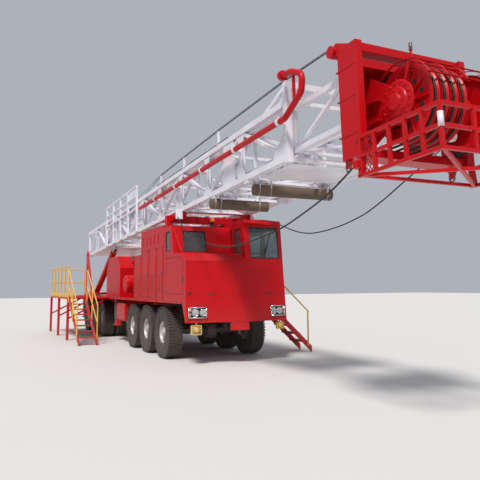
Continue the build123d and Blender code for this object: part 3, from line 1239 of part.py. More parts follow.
def lamps():
    """Two headlamp clusters, two square fog lamps on their brackets, and the roof beacon."""
    pieces = []
    right_across = Vector(-RIGHT_NORMAL.Y, RIGHT_NORMAL.X, 0)
    for start, across, up, normal in (
        (RIGHT_FACE, right_across, Vector(0, 0, 1), RIGHT_NORMAL),
        (LEFT_FACE, LEFT_RUN.normalized(), LEFT_UP, LEFT_NORMAL),
    ):
        lift = HEADLAMP_T / 2 + RUNNING_GAP
        at = Vector(*start) + across * HEADLAMP_IN + up * HEADLAMP_UP + normal * lift
        face = Plane(origin=tuple(at), x_dir=tuple(across), z_dir=tuple(normal))
        pieces.append(face * Box(HEADLAMP_WIDE, HEADLAMP_TALL, HEADLAMP_T))
    for y, wide, low, high in FOG_LAMPS:
        box = block(FOG_X - 70, FOG_X + 40, y - wide / 2, y + wide / 2, low, high)
        hanger = block(FOG_X - 15, FOG_X + 15, y - 20, y + 20, high - 10, NOSE_LOW_Z - RUNNING_GAP)
        pieces.append(box.fuse(hanger))
    base_z = HOUSE_ROOF_Z + RUNNING_GAP
    stem = Pos(BEACON_X, BEACON_Y, base_z + BEACON_STEM / 2) * Cylinder(BEACON_R * 0.6, BEACON_STEM)
    lens = Pos(BEACON_X, BEACON_Y, base_z + BEACON_STEM + BEACON_TALL / 2) * Cylinder(BEACON_R, BEACON_TALL)
    return pieces + [stem.fuse(lens)]


# Slack guy lines, from the crown to the lower mast: (x, y, z) of each point of the route

GUY_RIGHT = [
    (7582, -1056, 3247), (7270, -1062, 3090), (6930, -1066, 2960), (6580, -1060, 2860), (6210, -1066, 2762),
    (5850, -1060, 2676), (5500, -1066, 2610), (5150, -1060, 2574), (4800, -1066, 2536), (4450, -1060, 2508),
    (4100, -1066, 2487), (3750, -1060, 2482), (3400, -1066, 2500), (3050, -1060, 2539), (2700, -1066, 2586),
    (2350, -1060, 2654), (2000, -1066, 2744), (1660, -1060, 2838), (1320, -1066, 2942), (1020, -1060, 3070),
    (780, -1064, 3230), (545.3, -1060, 3405),
]
GUY_LEFT = [
    (7395, 1066, 3993), (7090, 1110, 3890), (6760, 1165, 3786), (6430, 1215, 3684), (6090, 1250, 3572),
    (5740, 1285, 3448), (5400, 1310, 3318), (5060, 1325, 3200), (4720, 1340, 3096), (4380, 1348, 3030),
    (4030, 1356, 2970), (3670, 1352, 2928), (3310, 1358, 2902), (2960, 1352, 2890), (2610, 1358, 2906),
    (2260, 1352, 2962), (1940, 1358, 3040), (1640, 1362, 3130), (1350, 1350, 3230), (1080, 1290, 3336),
    (810, 1170, 3404), (545, 1072, 3424),
]


def guy_line(route):
    """A slack line: straight runs joined by arcs as large as the runs allow."""
    radii = []
    for before, corner, after in zip(route, route[1:], route[2:]):
        first, second = Vector(*corner) - Vector(*before), Vector(*after) - Vector(*corner)
        turn = radians(first.get_angle(second))
        radii.append(0.45 * min(first.length, second.length) / tan(turn / 2))
    line = FilletPolyline(*route, radius=radii)
    tube = sweep(Plane(origin=line @ 0, z_dir=line % 0) * Circle(GUY_D / 2), path=line)
    full = pi * GUY_D ** 2 / 4 * line.length
    print(
        "guy line", round(line.length), "mm long, tube volume over section times length",
        round(tube.volume / full, 4),
    )
    print("smallest and largest bend radius", round(min(radii)), round(max(radii)))
    return tube


# All sub-parts, by the name of their node

nodes = {
    "chassis_frame": chassis_frame(),
    "axles": axles(),
    "springs": springs(),
    "deck": deck(),
    "tanks": tanks(),
    "jacks": jacks(),
    "front_body": front_body(),
    "cab_shell": cab_shell(),
    "cab_door": cab_door(),
    "cab_glass": cab_glass(),
    "cab_interior": cab_interior(),
    "engine_enclosure": engine_enclosure(),
    "engine_block": engine_block(),
    "drawworks_frame": drawworks_frame(),
    "drawworks_drum": drawworks_drum(),
    "mast_stands": mast_stands(),
    "mast_lower": mast_lower(),
    "mast_upper": mast_upper(),
    "crown_frame": crown_frame(),
    "crown_sheaves": crown_sheaves(),
    "standpipe": standpipe(),
    "monkey_board": monkey_board(),
    "timbers": timbers(),
    "cylinder_barrels": cylinder_barrels(),
    "cylinder_rods": cylinder_rods(),
    "access_stairs": access_stairs(),
    "handrails": handrails(),
    "lamps": lamps(),
    "guy_line_right": guy_line(GUY_RIGHT),
    "guy_line_left": guy_line(GUY_LEFT),
}

SIDES = (("left", 1), ("right", -1))
for side, out in SIDES:
    for number, x in enumerate(FRONT_AXLES, 1):
        rubber, wheel = front_wheel(out)
        nodes[f"front_tyre_{number}_{side}"] = Pos(x, 0, TYRE_R) * rubber
        nodes[f"front_rim_{number}_{side}"] = Pos(x, 0, TYRE_R) * wheel
        nodes[f"knuckle_{number}_{side}"] = Pos(x, 0, TYRE_R) * knuckle(out)
    for number, x in enumerate(REAR_AXLES, 1):
        rubber, wheel = rear_wheel(out)
        nodes[f"rear_tyres_{number}_{side}"] = Pos(x, 0, TYRE_R) * rubber
        nodes[f"rear_rims_{number}_{side}"] = Pos(x, 0, TYRE_R) * wheel


def as_one(shape):
    """One shape to save, also where a sub-part is a list of solids."""
    return Compound(children=list(shape)) if isinstance(shape, list) else shape


shapes = {name: as_one(shape) for name, shape in nodes.items()}
boxes = [shape.bounding_box() for name, shape in shapes.items() if not name.startswith("guy_line")]
ORIGIN_X = (min(b.min.X for b in boxes) + max(b.max.X for b in boxes)) / 2
ORIGIN_Y = (min(b.min.Y for b in boxes) + max(b.max.Y for b in boxes)) / 2
REAR_END, FRONT_END = min(b.min.X for b in boxes), max(b.max.X for b in boxes)
print("whole", round(REAR_END), round(FRONT_END), "origin", ORIGIN_X, ORIGIN_Y)

os.makedirs("parts", exist_ok=True)
for name, shape in shapes.items():
    export_step(Pos(-ORIGIN_X, -ORIGIN_Y, 0) * shape, f"parts/{name}.step")
print(len(shapes), "nodes")
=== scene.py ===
# %% [markdown]
# Well flushing truck: the looks around a fixed frame.
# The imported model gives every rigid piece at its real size. This lesson adds what a visitor would see on
# the real machine: paint, rubber, glass, tyre tread, louvres, lamps, wires, gratings and seals.
# All lengths are metres. X runs forward, Y to the truck's left and Z up from the ground.

# %% Load the frame and note its size
import math

import bmesh
import bpy
from mathutils import Matrix, Vector


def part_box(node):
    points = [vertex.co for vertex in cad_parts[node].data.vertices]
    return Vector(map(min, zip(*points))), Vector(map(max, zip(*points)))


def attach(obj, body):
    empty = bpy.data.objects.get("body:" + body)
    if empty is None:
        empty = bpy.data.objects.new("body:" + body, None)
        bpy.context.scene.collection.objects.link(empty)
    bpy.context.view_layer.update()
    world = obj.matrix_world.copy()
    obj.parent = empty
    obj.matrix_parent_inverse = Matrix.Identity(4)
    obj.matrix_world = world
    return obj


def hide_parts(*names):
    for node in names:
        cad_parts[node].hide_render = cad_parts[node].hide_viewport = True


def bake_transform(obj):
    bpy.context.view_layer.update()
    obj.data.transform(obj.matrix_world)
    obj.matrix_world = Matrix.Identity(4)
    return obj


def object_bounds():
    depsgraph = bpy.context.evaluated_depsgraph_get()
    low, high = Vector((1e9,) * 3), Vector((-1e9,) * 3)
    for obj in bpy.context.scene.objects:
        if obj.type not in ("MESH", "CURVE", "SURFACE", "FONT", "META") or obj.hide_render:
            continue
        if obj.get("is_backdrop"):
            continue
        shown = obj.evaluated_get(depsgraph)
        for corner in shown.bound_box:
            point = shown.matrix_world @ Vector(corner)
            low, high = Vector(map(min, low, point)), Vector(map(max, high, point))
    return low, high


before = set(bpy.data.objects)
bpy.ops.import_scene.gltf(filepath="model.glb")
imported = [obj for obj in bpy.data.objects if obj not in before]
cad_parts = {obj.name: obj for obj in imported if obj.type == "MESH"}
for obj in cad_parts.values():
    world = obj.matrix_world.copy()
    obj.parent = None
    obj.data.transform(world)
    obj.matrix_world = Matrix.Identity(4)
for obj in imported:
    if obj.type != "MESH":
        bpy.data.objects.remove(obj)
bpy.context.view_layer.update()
TAU = 2 * math.pi

front_low, front_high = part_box("front_tyre_1_left")
AXLE_X = (front_low.x + front_high.x) / 2
TYRE_R = (front_high.z - front_low.z) / 2
TYRE_W = front_high.y - front_low.y
WHEEL_Y = (front_high.y + front_low.y) / 2
print("front axle at x", round(AXLE_X, 3), "tyre radius", round(TYRE_R, 3))


def at(x, y, z):
    """A point given from the first front axle, as a point of the shared frame."""
    return Vector((x + AXLE_X, y, z))


# %% [markdown]
# The mast is not level: it slopes up towards the front by about two degrees. Pieces on it are easier to
# place in the mast's own frame, with u along it, y across and v up from its lower chords, so one helper
# turns such a point into the shared frame.

# %% Points in the mast's own frame
PIVOT_X = -11.75
PIVOT_Z = 3.09
MAST_SLOPE = math.radians(2.2)


def on_mast(u, y, v):
    """A point of the mast's frame, as a point of the shared frame."""
    x = PIVOT_X + u * math.cos(MAST_SLOPE) - v * math.sin(MAST_SLOPE)
    z = PIVOT_Z + u * math.sin(MAST_SLOPE) + v * math.cos(MAST_SLOPE)
    return at(x, y, z)


print("mast head at", tuple(round(c, 2) for c in on_mast(17.5, 0, 0)))

# %% [markdown]
# The photograph was taken by someone standing ahead of the truck and to its right, at eye height, with a
# slightly long lens. The camera is placed first, because slack lines that hang on the truck have to be
# inside its view. A small shift stands for the way the picture was cropped.

# %% Camera at the photograph's place
camera_data = bpy.data.cameras.new("camera")
camera_data.sensor_width = 36.0
camera_data.lens = 42.3
camera_data.shift_y = -0.0536
camera_data.clip_end = 400.0
camera = bpy.data.objects.new("camera", camera_data)
bpy.context.scene.collection.objects.link(camera)
camera.location = at(13.548, -5.507, 1.717)
VIEW_YAW = math.radians(154.77)
VIEW_PITCH = math.radians(7.3)
VIEW_ROLL = math.radians(-0.43)
looking = Vector((
    math.cos(VIEW_YAW) * math.cos(VIEW_PITCH), math.sin(VIEW_YAW) * math.cos(VIEW_PITCH),
    math.sin(VIEW_PITCH),
))
upright = looking.to_track_quat("-Z", "Y").to_matrix()
camera.rotation_euler = (upright @ Matrix.Rotation(VIEW_ROLL, 3, "Z")).to_euler()
bpy.context.scene.camera = camera
print("camera looks along", tuple(round(c, 3) for c in looking))

# %% [markdown]
# Two slack guy lines hang between the crown and the lower mast while the mast lies down. Each is a
# greased wire line, so it droops in one long easy curve. A NURBS curve is the right tool: the few points
# that a rigger would note are its control points, and the curve glides between them with no corners.

# %% Slack guy lines as NURBS curves
GUY_D = 0.026

GUY_RIGHT = [
    (7.582, -1.056, 3.247), (7.270, -1.062, 3.090), (6.930, -1.066, 2.960), (6.580, -1.060, 2.860),
    (6.210, -1.066, 2.762), (5.850, -1.060, 2.676), (5.500, -1.066, 2.610), (5.150, -1.060, 2.574),
    (4.800, -1.066, 2.536), (4.450, -1.060, 2.508), (4.100, -1.066, 2.487), (3.750, -1.060, 2.482),
    (3.400, -1.066, 2.500), (3.050, -1.060, 2.539), (2.700, -1.066, 2.586), (2.350, -1.060, 2.654),
    (2.000, -1.066, 2.744), (1.660, -1.060, 2.838), (1.320, -1.066, 2.942), (1.020, -1.060, 3.070),
    (0.780, -1.064, 3.230), (0.5453, -1.060, 3.405),
]
GUY_LEFT = [
    (7.395, 1.066, 3.993), (7.090, 1.110, 3.890), (6.760, 1.165, 3.786), (6.430, 1.215, 3.684),
    (6.090, 1.250, 3.572), (5.740, 1.285, 3.448), (5.400, 1.310, 3.318), (5.060, 1.325, 3.200),
    (4.720, 1.340, 3.096), (4.380, 1.348, 3.030), (4.030, 1.356, 2.970), (3.670, 1.352, 2.928),
    (3.310, 1.358, 2.902), (2.960, 1.352, 2.890), (2.610, 1.358, 2.906), (2.260, 1.352, 2.962),
    (1.940, 1.358, 3.040), (1.640, 1.362, 3.130), (1.350, 1.350, 3.230), (1.080, 1.290, 3.336),
    (0.810, 1.170, 3.404), (0.545, 1.072, 3.424),
]


def cord_curve(name, route, radius):
    """A round line that glides along a route of control points."""
    data = bpy.data.curves.new(name, "CURVE")
    data.dimensions = "3D"
    data.bevel_depth = radius
    data.bevel_resolution = 2
    data.use_fill_caps = True
    spline = data.splines.new("NURBS")
    spline.points.add(len(route) - 1)
    for point, place in zip(spline.points, route):
        point.co = (*at(*place), 1.0)
    spline.order_u = 3
    spline.use_endpoint_u = True
    spline.resolution_u = 6
    curve = bpy.data.objects.new(name, data)
    bpy.context.scene.collection.objects.link(curve)
    return curve


def curve_length(curve):
    """The length of a curve's own line, measured with its thickness set aside."""
    thick = curve.data.bevel_depth
    curve.data.bevel_depth = 0.0
    graph = bpy.context.evaluated_depsgraph_get()
    line = bpy.data.meshes.new_from_object(curve.evaluated_get(graph))
    curve.data.bevel_depth = thick
    total = sum((line.vertices[a].co - line.vertices[b].co).length
                for a, b in (e.vertices for e in line.edges))
    bpy.data.meshes.remove(line)
    return total


guy_lines = {}
for side, route in (("right", GUY_RIGHT), ("left", GUY_LEFT)):
    line = cord_curve(f"guy_rope_{side}", route, GUY_D / 2)
    guy_lines[side] = line
    length = curve_length(line)
    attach(line, "mast_top")
    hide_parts(f"guy_line_{side}")
    print("guy line", side, "is", round(length, 2), "m long")

# %% [markdown]
# Real paint is never one flat colour. Three effects come back in almost every finish here: large soft
# patches where paint has faded, road dust that settles low down, and brighter wear along edges. Each is
# a shader node group with named inputs, built once and placed in every material that needs it.

# %% Shader node groups that the finishes share
def new_group(name, inputs, outputs):
    """An empty shader group with named sockets, and its two end nodes."""
    group = bpy.data.node_groups.new(name, "ShaderNodeTree")
    for label, kind, value in inputs:
        socket = group.interface.new_socket(label, in_out="INPUT", socket_type=kind)
        socket.default_value = value
    for label, kind in outputs:
        group.interface.new_socket(label, in_out="OUTPUT", socket_type=kind)
    return group, group.nodes.new("NodeGroupInput"), group.nodes.new("NodeGroupOutput")


def math_node(tree, operation, first, second=None, clamp=False):
    """A Math node fed by sockets or plain numbers."""
    node = tree.nodes.new("ShaderNodeMath")
    node.operation = operation
    node.use_clamp = clamp
    for slot, value in zip(node.inputs, (first, second)):
        if isinstance(value, bpy.types.NodeSocket):
            tree.links.new(value, slot)
        elif value is not None:
            slot.default_value = value
    return node.outputs[0]


def noise_node(tree, where, scale, detail=4.0):
    """A noise pattern at a scale, read at a place."""
    node = tree.nodes.new("ShaderNodeTexNoise")
    node.inputs["Detail"].default_value = detail
    tree.links.new(where, node.inputs["Vector"])
    if isinstance(scale, bpy.types.NodeSocket):
        tree.links.new(scale, node.inputs["Scale"])
    else:
        node.inputs["Scale"].default_value = scale
    return node.outputs["Fac"]


def mix_node(tree, amount, first, second):
    """A colour mix fed by sockets or plain colours."""
    node = tree.nodes.new("ShaderNodeMix")
    node.data_type = "RGBA"
    for slot, value in ((node.inputs[0], amount), (node.inputs[6], first), (node.inputs[7], second)):
        if isinstance(value, bpy.types.NodeSocket):
            tree.links.new(value, slot)
        else:
            slot.default_value = value
    return node.outputs[2]


FLOAT, COLOUR = "NodeSocketFloat", "NodeSocketColor"
PALE_DUST = (0.36, 0.30, 0.24, 1.0)

weather, ins, outs = new_group(
    "weathered_colour",
    [("Colour", COLOUR, (0.5, 0.5, 0.5, 1)), ("Faded", COLOUR, (0.6, 0.6, 0.6, 1)),
     ("Patch Scale", FLOAT, 1.2), ("Fade", FLOAT, 0.5), ("Dust", FLOAT, 0.3), ("Dust Height", FLOAT, 1.4),
     ("Rough", FLOAT, 0.35)],
    [("Colour", COLOUR), ("Roughness", FLOAT), ("Height", FLOAT)],
)
place = weather.nodes.new("ShaderNodeTexCoord").outputs["Object"]
patches = noise_node(weather, place, ins.outputs["Patch Scale"])
fade = math_node(weather, "MULTIPLY", math_node(weather, "SUBTRACT", patches, 0.38, True), 3.0, True)
fade = math_node(weather, "MULTIPLY", fade, ins.outputs["Fade"], True)
painted = mix_node(weather, fade, ins.outputs["Colour"], ins.outputs["Faded"])
height = weather.nodes.new("ShaderNodeSeparateXYZ")
weather.links.new(place, height.inputs[0])
low = math_node(weather, "DIVIDE", height.outputs["Z"], ins.outputs["Dust Height"])
low = math_node(weather, "SUBTRACT", 1.0, low, True)
specks = noise_node(weather, place, 14.0, 8.0)
dust = math_node(weather, "MULTIPLY", low, math_node(weather, "MULTIPLY", specks, 1.6))
faces_up = weather.nodes.new("ShaderNodeSeparateXYZ")
weather.links.new(weather.nodes.new("ShaderNodeNewGeometry").outputs["Normal"], faces_up.inputs[0])
settled = math_node(weather, "MULTIPLY", math_node(weather, "SUBTRACT", faces_up.outputs["Z"], 0.6, True),
                    specks)
dust = math_node(weather, "MULTIPLY", math_node(weather, "ADD", dust, settled), ins.outputs["Dust"], True)
weather.links.new(mix_node(weather, dust, painted, PALE_DUST), outs.inputs["Colour"])
rough = math_node(weather, "ADD", ins.outputs["Rough"], math_node(weather, "MULTIPLY", dust, 0.5))
rough = math_node(weather, "ADD", rough, math_node(weather, "MULTIPLY", patches, 0.12), True)
weather.links.new(rough, outs.inputs["Roughness"])
ripple = noise_node(weather, place, 5.0, 2.0)
grit = math_node(weather, "MULTIPLY", noise_node(weather, place, 160.0, 2.0), 0.12)
weather.links.new(math_node(weather, "ADD", ripple, grit), outs.inputs["Height"])

edges, ins, outs = new_group(
    "edge_mask", [("Reach", FLOAT, 0.008), ("Broken", FLOAT, 0.6)],
    [("Mask", FLOAT), ("Normal", "NodeSocketVector")],
)
soft = edges.nodes.new("ShaderNodeBevel")
soft.samples = 4
edges.links.new(ins.outputs["Reach"], soft.inputs["Radius"])
turned = edges.nodes.new("ShaderNodeVectorMath")
turned.operation = "DOT_PRODUCT"
edges.links.new(soft.outputs[0], turned.inputs[0])
edges.links.new(edges.nodes.new("ShaderNodeNewGeometry").outputs["Normal"], turned.inputs[1])
bent = math_node(edges, "MULTIPLY", math_node(edges, "SUBTRACT", 1.0, turned.outputs["Value"], True), 5.0,
                 True)
spots = noise_node(edges, edges.nodes.new("ShaderNodeTexCoord").outputs["Object"], 9.0, 6.0)
spots = math_node(edges, "MULTIPLY", math_node(edges, "SUBTRACT", spots, 0.45, True), 5.0, True)
kept = math_node(edges, "SUBTRACT", 1.0, math_node(edges, "MULTIPLY", ins.outputs["Broken"], math_node(
    edges, "SUBTRACT", 1.0, spots)), True)
edges.links.new(math_node(edges, "MULTIPLY", bent, kept, True), outs.inputs["Mask"])
edges.links.new(soft.outputs[0], outs.inputs["Normal"])
print("shader groups:", weather.name, edges.name)

# %% [markdown]
# Every painted finish is now one call: the two groups give colour, roughness and a faint unevenness,
# and a Principled shader turns them into paint. Bare metal, rubber, glass and timber each get a short
# recipe of their own below.

# %% A painted finish built from the groups
def put_group(tree, group, **values):
    """A shader group placed in a material with its own input values."""
    node = tree.nodes.new("ShaderNodeGroup")
    node.node_tree = group
    for label, value in values.items():
        node.inputs[label.replace("_", " ")].default_value = value
    return node


def new_material(name):
    """A fresh node material, its tree and its Principled shader."""
    made = bpy.data.materials.new(name)
    made.use_nodes = True
    return made, made.node_tree, made.node_tree.nodes["Principled BSDF"]


def bump_into(tree, shader, height, strength, distance, normal=None):
    """Feeds a height into the shader's normal, over another normal if one is given."""
    bump = tree.nodes.new("ShaderNodeBump")
    bump.inputs["Strength"].default_value = strength
    bump.inputs["Distance"].default_value = distance
    tree.links.new(height, bump.inputs["Height"])
    if normal is not None:
        tree.links.new(normal, bump.inputs["Normal"])
    tree.links.new(bump.outputs[0], shader.inputs["Normal"])


def rgb(red, green, blue):
    """A colour with full opacity."""
    return (red, green, blue, 1.0)


def paint(name, colour, faded, worn, fade=0.5, dust=0.3, dust_height=1.4, rough=0.3, metal=0.0, coat=0.0,
          patch=1.2, reach=0.008, wear=0.35, unevenness=0.25, shine=0.5):
    """Paint on steel: faded patches, dust low down and worn edges."""
    made, tree, shader = new_material(name)
    base = put_group(tree, weather, Colour=colour, Faded=faded, Patch_Scale=patch, Fade=fade, Dust=dust,
                     Dust_Height=dust_height, Rough=rough)
    edge = put_group(tree, edges, Reach=reach, Broken=0.7)
    amount = math_node(tree, "MULTIPLY", edge.outputs["Mask"], wear)
    tree.links.new(mix_node(tree, amount, base.outputs["Colour"], worn), shader.inputs["Base Color"])
    tree.links.new(base.outputs["Roughness"], shader.inputs["Roughness"])
    shader.inputs["Metallic"].default_value = metal
    shader.inputs["Specular IOR Level"].default_value = shine
    shader.inputs["Coat Weight"].default_value = coat
    shader.inputs["Coat Roughness"].default_value = 0.12
    bump_into(tree, shader, base.outputs["Height"], unevenness, 0.004, edge.outputs["Normal"])
    return made


red_paint = paint("red_enamel", rgb(0.48, 0.002, 0.006), rgb(0.50, 0.008, 0.013), rgb(0.56, 0.09, 0.08),
                  fade=0.5, dust=0.14, rough=0.30, shine=0.22)
white_paint = paint("white_enamel", rgb(0.74, 0.73, 0.78), rgb(0.56, 0.54, 0.60), rgb(0.46, 0.38, 0.36),
                    fade=0.6, dust=0.15, rough=0.38, patch=2.2, wear=0.5)
yellow_paint = paint("ochre_enamel", rgb(0.72, 0.42, 0.05), rgb(0.60, 0.36, 0.09), rgb(0.28, 0.16, 0.06),
                     fade=0.7, dust=0.3, rough=0.42, patch=4.0, reach=0.004)
black_paint = paint("chassis_black", rgb(0.018, 0.018, 0.020), rgb(0.045, 0.042, 0.040),
                    rgb(0.16, 0.12, 0.09), fade=0.8, dust=0.55, dust_height=1.6, rough=0.5)
rim_paint = paint("rim_silver_paint", rgb(0.66, 0.66, 0.65), rgb(0.42, 0.39, 0.35), rgb(0.30, 0.22, 0.16),
                  fade=0.8, dust=0.5, rough=0.35, metal=0.35, patch=5.0, reach=0.004)
grey_trim = paint("cab_trim_grey", rgb(0.035, 0.035, 0.038), rgb(0.06, 0.06, 0.065), rgb(0.12, 0.12, 0.12),
                  fade=0.5, dust=0.1, rough=0.6, patch=6.0)
iron = paint("engine_iron", rgb(0.05, 0.052, 0.055), rgb(0.09, 0.08, 0.07), rgb(0.22, 0.2, 0.18),
             fade=0.8, dust=0.3, rough=0.55, metal=0.4, patch=6.0)
worn_steel = paint("worn_steel", rgb(0.22, 0.21, 0.20), rgb(0.12, 0.085, 0.06), rgb(0.5, 0.48, 0.46),
                   fade=0.9, dust=0.3, rough=0.42, metal=0.8, patch=7.0)
hard_chrome = paint("hard_chrome", rgb(0.72, 0.73, 0.75), rgb(0.60, 0.61, 0.63), rgb(0.8, 0.8, 0.8),
                    fade=0.4, dust=0.1, rough=0.12, metal=1.0, unevenness=0.03)
black_rubber = paint("black_rubber", rgb(0.016, 0.016, 0.017), rgb(0.035, 0.033, 0.031),
                     rgb(0.06, 0.055, 0.05), fade=0.6, dust=0.2, rough=0.62, patch=8.0)
light_steel = paint("light_grey_plate", rgb(0.42, 0.42, 0.44), rgb(0.30, 0.29, 0.30), rgb(0.6, 0.58, 0.55),
                    fade=0.6, dust=0.2, rough=0.45, patch=3.0)
orange_plastic = paint("orange_beacon", rgb(0.85, 0.20, 0.01), rgb(0.75, 0.16, 0.02), rgb(0.9, 0.4, 0.1),
                       fade=0.3, dust=0.1, rough=0.2, coat=0.5)
amber_plastic = paint("amber_lens", rgb(0.85, 0.42, 0.03), rgb(0.75, 0.34, 0.04), rgb(0.9, 0.6, 0.2),
                      fade=0.3, dust=0.1, rough=0.2, coat=0.5)
print("painted finishes:", len([m for m in bpy.data.materials if m.use_nodes]))

# %% [markdown]
# Tyre rubber is dark brown-grey with pale dust in it, and its sides carry fine rings. Glass has to let
# the cab show through, so its transmission stays plain. Timber has long grain and open ends. Wire line
# shows its twisted strands as a fine slanted bump.

# %% Rubber, glass, timber and wire line
tyre_rubber, tree, shader = new_material("tyre_rubber")
base = put_group(tree, weather, Colour=rgb(0.016, 0.014, 0.013), Faded=rgb(0.040, 0.033, 0.027),
                 Patch_Scale=5.0, Fade=0.8, Dust=0.26, Dust_Height=1.5, Rough=0.62)
tree.links.new(base.outputs["Colour"], shader.inputs["Base Color"])
tree.links.new(base.outputs["Roughness"], shader.inputs["Roughness"])
bump_into(tree, shader, base.outputs["Height"], 0.3, 0.003)


def clear_glass(name, tint, rough, weight):
    """Glass that lets light through, with a faint smear of dust in its roughness."""
    made, tree, shader = new_material(name)
    shader.inputs["Transmission Weight"].default_value = weight
    shader.inputs["IOR"].default_value = 1.45
    place = tree.nodes.new("ShaderNodeTexCoord").outputs["Object"]
    smear = noise_node(tree, place, 3.0)
    colour = mix_node(tree, smear, tint, rgb(*(c * 0.8 for c in tint[:3])))
    tree.links.new(colour, shader.inputs["Base Color"])
    value = math_node(tree, "ADD", math_node(tree, "MULTIPLY", smear, 0.05), rough)
    tree.links.new(value, shader.inputs["Roughness"])
    return made


window_glass = clear_glass("window_glass", rgb(0.46, 0.52, 0.53), 0.02, 0.9)
lens_glass = clear_glass("lens_glass", rgb(0.92, 0.93, 0.90), 0.05, 0.7)

bark_timber, tree, shader = new_material("weathered_timber")
place = tree.nodes.new("ShaderNodeTexCoord").outputs["Object"]
along = tree.nodes.new("ShaderNodeMapping")
along.inputs["Scale"].default_value = (9.0, 0.8, 9.0)
tree.links.new(place, along.inputs[0])
grain = noise_node(tree, along.outputs[0], 5.0, 10.0)
knots = noise_node(tree, place, 3.0, 3.0)
colour = mix_node(tree, grain, rgb(0.035, 0.018, 0.012), rgb(0.20, 0.125, 0.080))
colour = mix_node(tree, math_node(tree, "MULTIPLY", knots, 0.5), colour, rgb(0.11, 0.085, 0.07))
tree.links.new(colour, shader.inputs["Base Color"])
tree.links.new(math_node(tree, "ADD", math_node(tree, "MULTIPLY", grain, 0.2), 0.65),
               shader.inputs["Roughness"])
bump_into(tree, shader, grain, 0.9, 0.01)

wire_line, tree, shader = new_material("greased_wire")
place = tree.nodes.new("ShaderNodeTexCoord").outputs["Object"]
strands = tree.nodes.new("ShaderNodeTexWave")
strands.bands_direction = "DIAGONAL"
strands.inputs["Scale"].default_value = 22.0
tree.links.new(place, strands.inputs["Vector"])
colour = mix_node(tree, strands.outputs["Fac"], rgb(0.010, 0.010, 0.011), rgb(0.045, 0.042, 0.040))
tree.links.new(colour, shader.inputs["Base Color"])
tree.links.new(math_node(tree, "ADD", math_node(tree, "MULTIPLY", strands.outputs["Fac"], 0.2), 0.35),
               shader.inputs["Roughness"])
shader.inputs["Metallic"].default_value = 0.5
bump_into(tree, shader, strands.outputs["Fac"], 0.5, 0.003)
print("finishes in all:", len(bpy.data.materials))

# %% [markdown]
# The rigid pieces from the frame only need their finish. A table names each finish for the pieces that
# wear it, and everything on the wheels follows from its name.

# %% Finishes on the rigid pieces
FINISHES = {
    red_paint: ("deck", "tanks", "jacks", "front_body", "cab_shell", "cab_door", "engine_enclosure",
                "drawworks_frame", "mast_stands", "crown_frame", "crown_sheaves", "standpipe",
                "cylinder_barrels", "access_stairs"),
    white_paint: ("mast_lower", "mast_upper", "monkey_board"),
    black_paint: ("chassis_frame", "axles", "springs"),
    yellow_paint: ("handrails",),
    window_glass: ("cab_glass",),
    grey_trim: ("cab_interior",),
    iron: ("engine_block",),
    worn_steel: ("drawworks_drum",),
    hard_chrome: ("cylinder_rods",),
    bark_timber: ("timbers",),
    wire_line: (),
}
finish_of = {node: finish for finish, names in FINISHES.items() for node in names}
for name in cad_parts:
    if "rim" in name:
        finish_of[name] = rim_paint
    elif "knuckle" in name:
        finish_of[name] = black_paint
    elif "tyre" in name:
        finish_of[name] = tyre_rubber


def dress(obj, material):
    """Gives an object one material in its first slot."""
    if obj.data.materials:
        obj.data.materials[0] = material
    else:
        obj.data.materials.append(material)


for name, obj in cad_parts.items():
    dress(obj, finish_of.get(name, black_rubber))
for line in guy_lines.values():
    line.data.materials.append(wire_line)
print("rigid pieces dressed:", len(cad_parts))

# %% [markdown]
# Small fittings are built as plain mesh code. Three helpers cover most of them: a box between two
# corners, a bar or tube between two points, and one call that turns a pile of such shapes into a piece
# with a finish that rides on its body.

# %% Helpers for small fittings
def new_pile():
    """An empty mesh to gather shapes in."""
    return bmesh.new()


def add_box(pile, x0, x1, y0, y1, z0, z1, place=at):
    """A box between two values on each axis."""
    low, high = (min(x0, x1), min(y0, y1), min(z0, z1)), (max(x0, x1), max(y0, y1), max(z0, z1))
    corners = [pile.verts.new(place(x, y, z)) for x in (low[0], high[0]) for y in (low[1], high[1])
               for z in (low[2], high[2])]
    for face in ((0, 1, 3, 2), (4, 6, 7, 5), (0, 4, 5, 1), (2, 3, 7, 6), (0, 2, 6, 4), (1, 5, 7, 3)):
        pile.faces.new([corners[n] for n in face])
    return corners


def cross_axes(run):
    """Two directions square to a run and to each other."""
    side = Vector((0, 0, 1)) if abs(run.z) < 0.9 * run.length else Vector((1, 0, 0))
    across = run.cross(side).normalized()
    return across, run.cross(across).normalized()


def add_tube(pile, path, radius, sides=10, closed=False):
    """A round tube along a list of points, its ends capped unless the path closes on itself."""
    path = [Vector(p) for p in path]
    rings = []
    count = len(path)
    across, up = None, None
    for n, point in enumerate(path):
        before = path[n - 1] if n or closed else point
        after = path[(n + 1) % count] if n + 1 < count or closed else point
        run = after - before
        if across is None:
            across, up = cross_axes(run)
        across = (across - run * (across.dot(run) / run.dot(run))).normalized()
        up = run.cross(across).normalized()
        rings.append([pile.verts.new(point + across * radius * math.cos(TAU * k / sides)
                                     + up * radius * math.sin(TAU * k / sides)) for k in range(sides)])
    for n in range(count if closed else count - 1):
        a, b = rings[n], rings[(n + 1) % count]
        for k in range(sides):
            pile.faces.new((a[k], a[(k + 1) % sides], b[(k + 1) % sides], b[k]))
    if not closed:
        pile.faces.new(list(reversed(rings[0])))
        pile.faces.new(rings[-1])


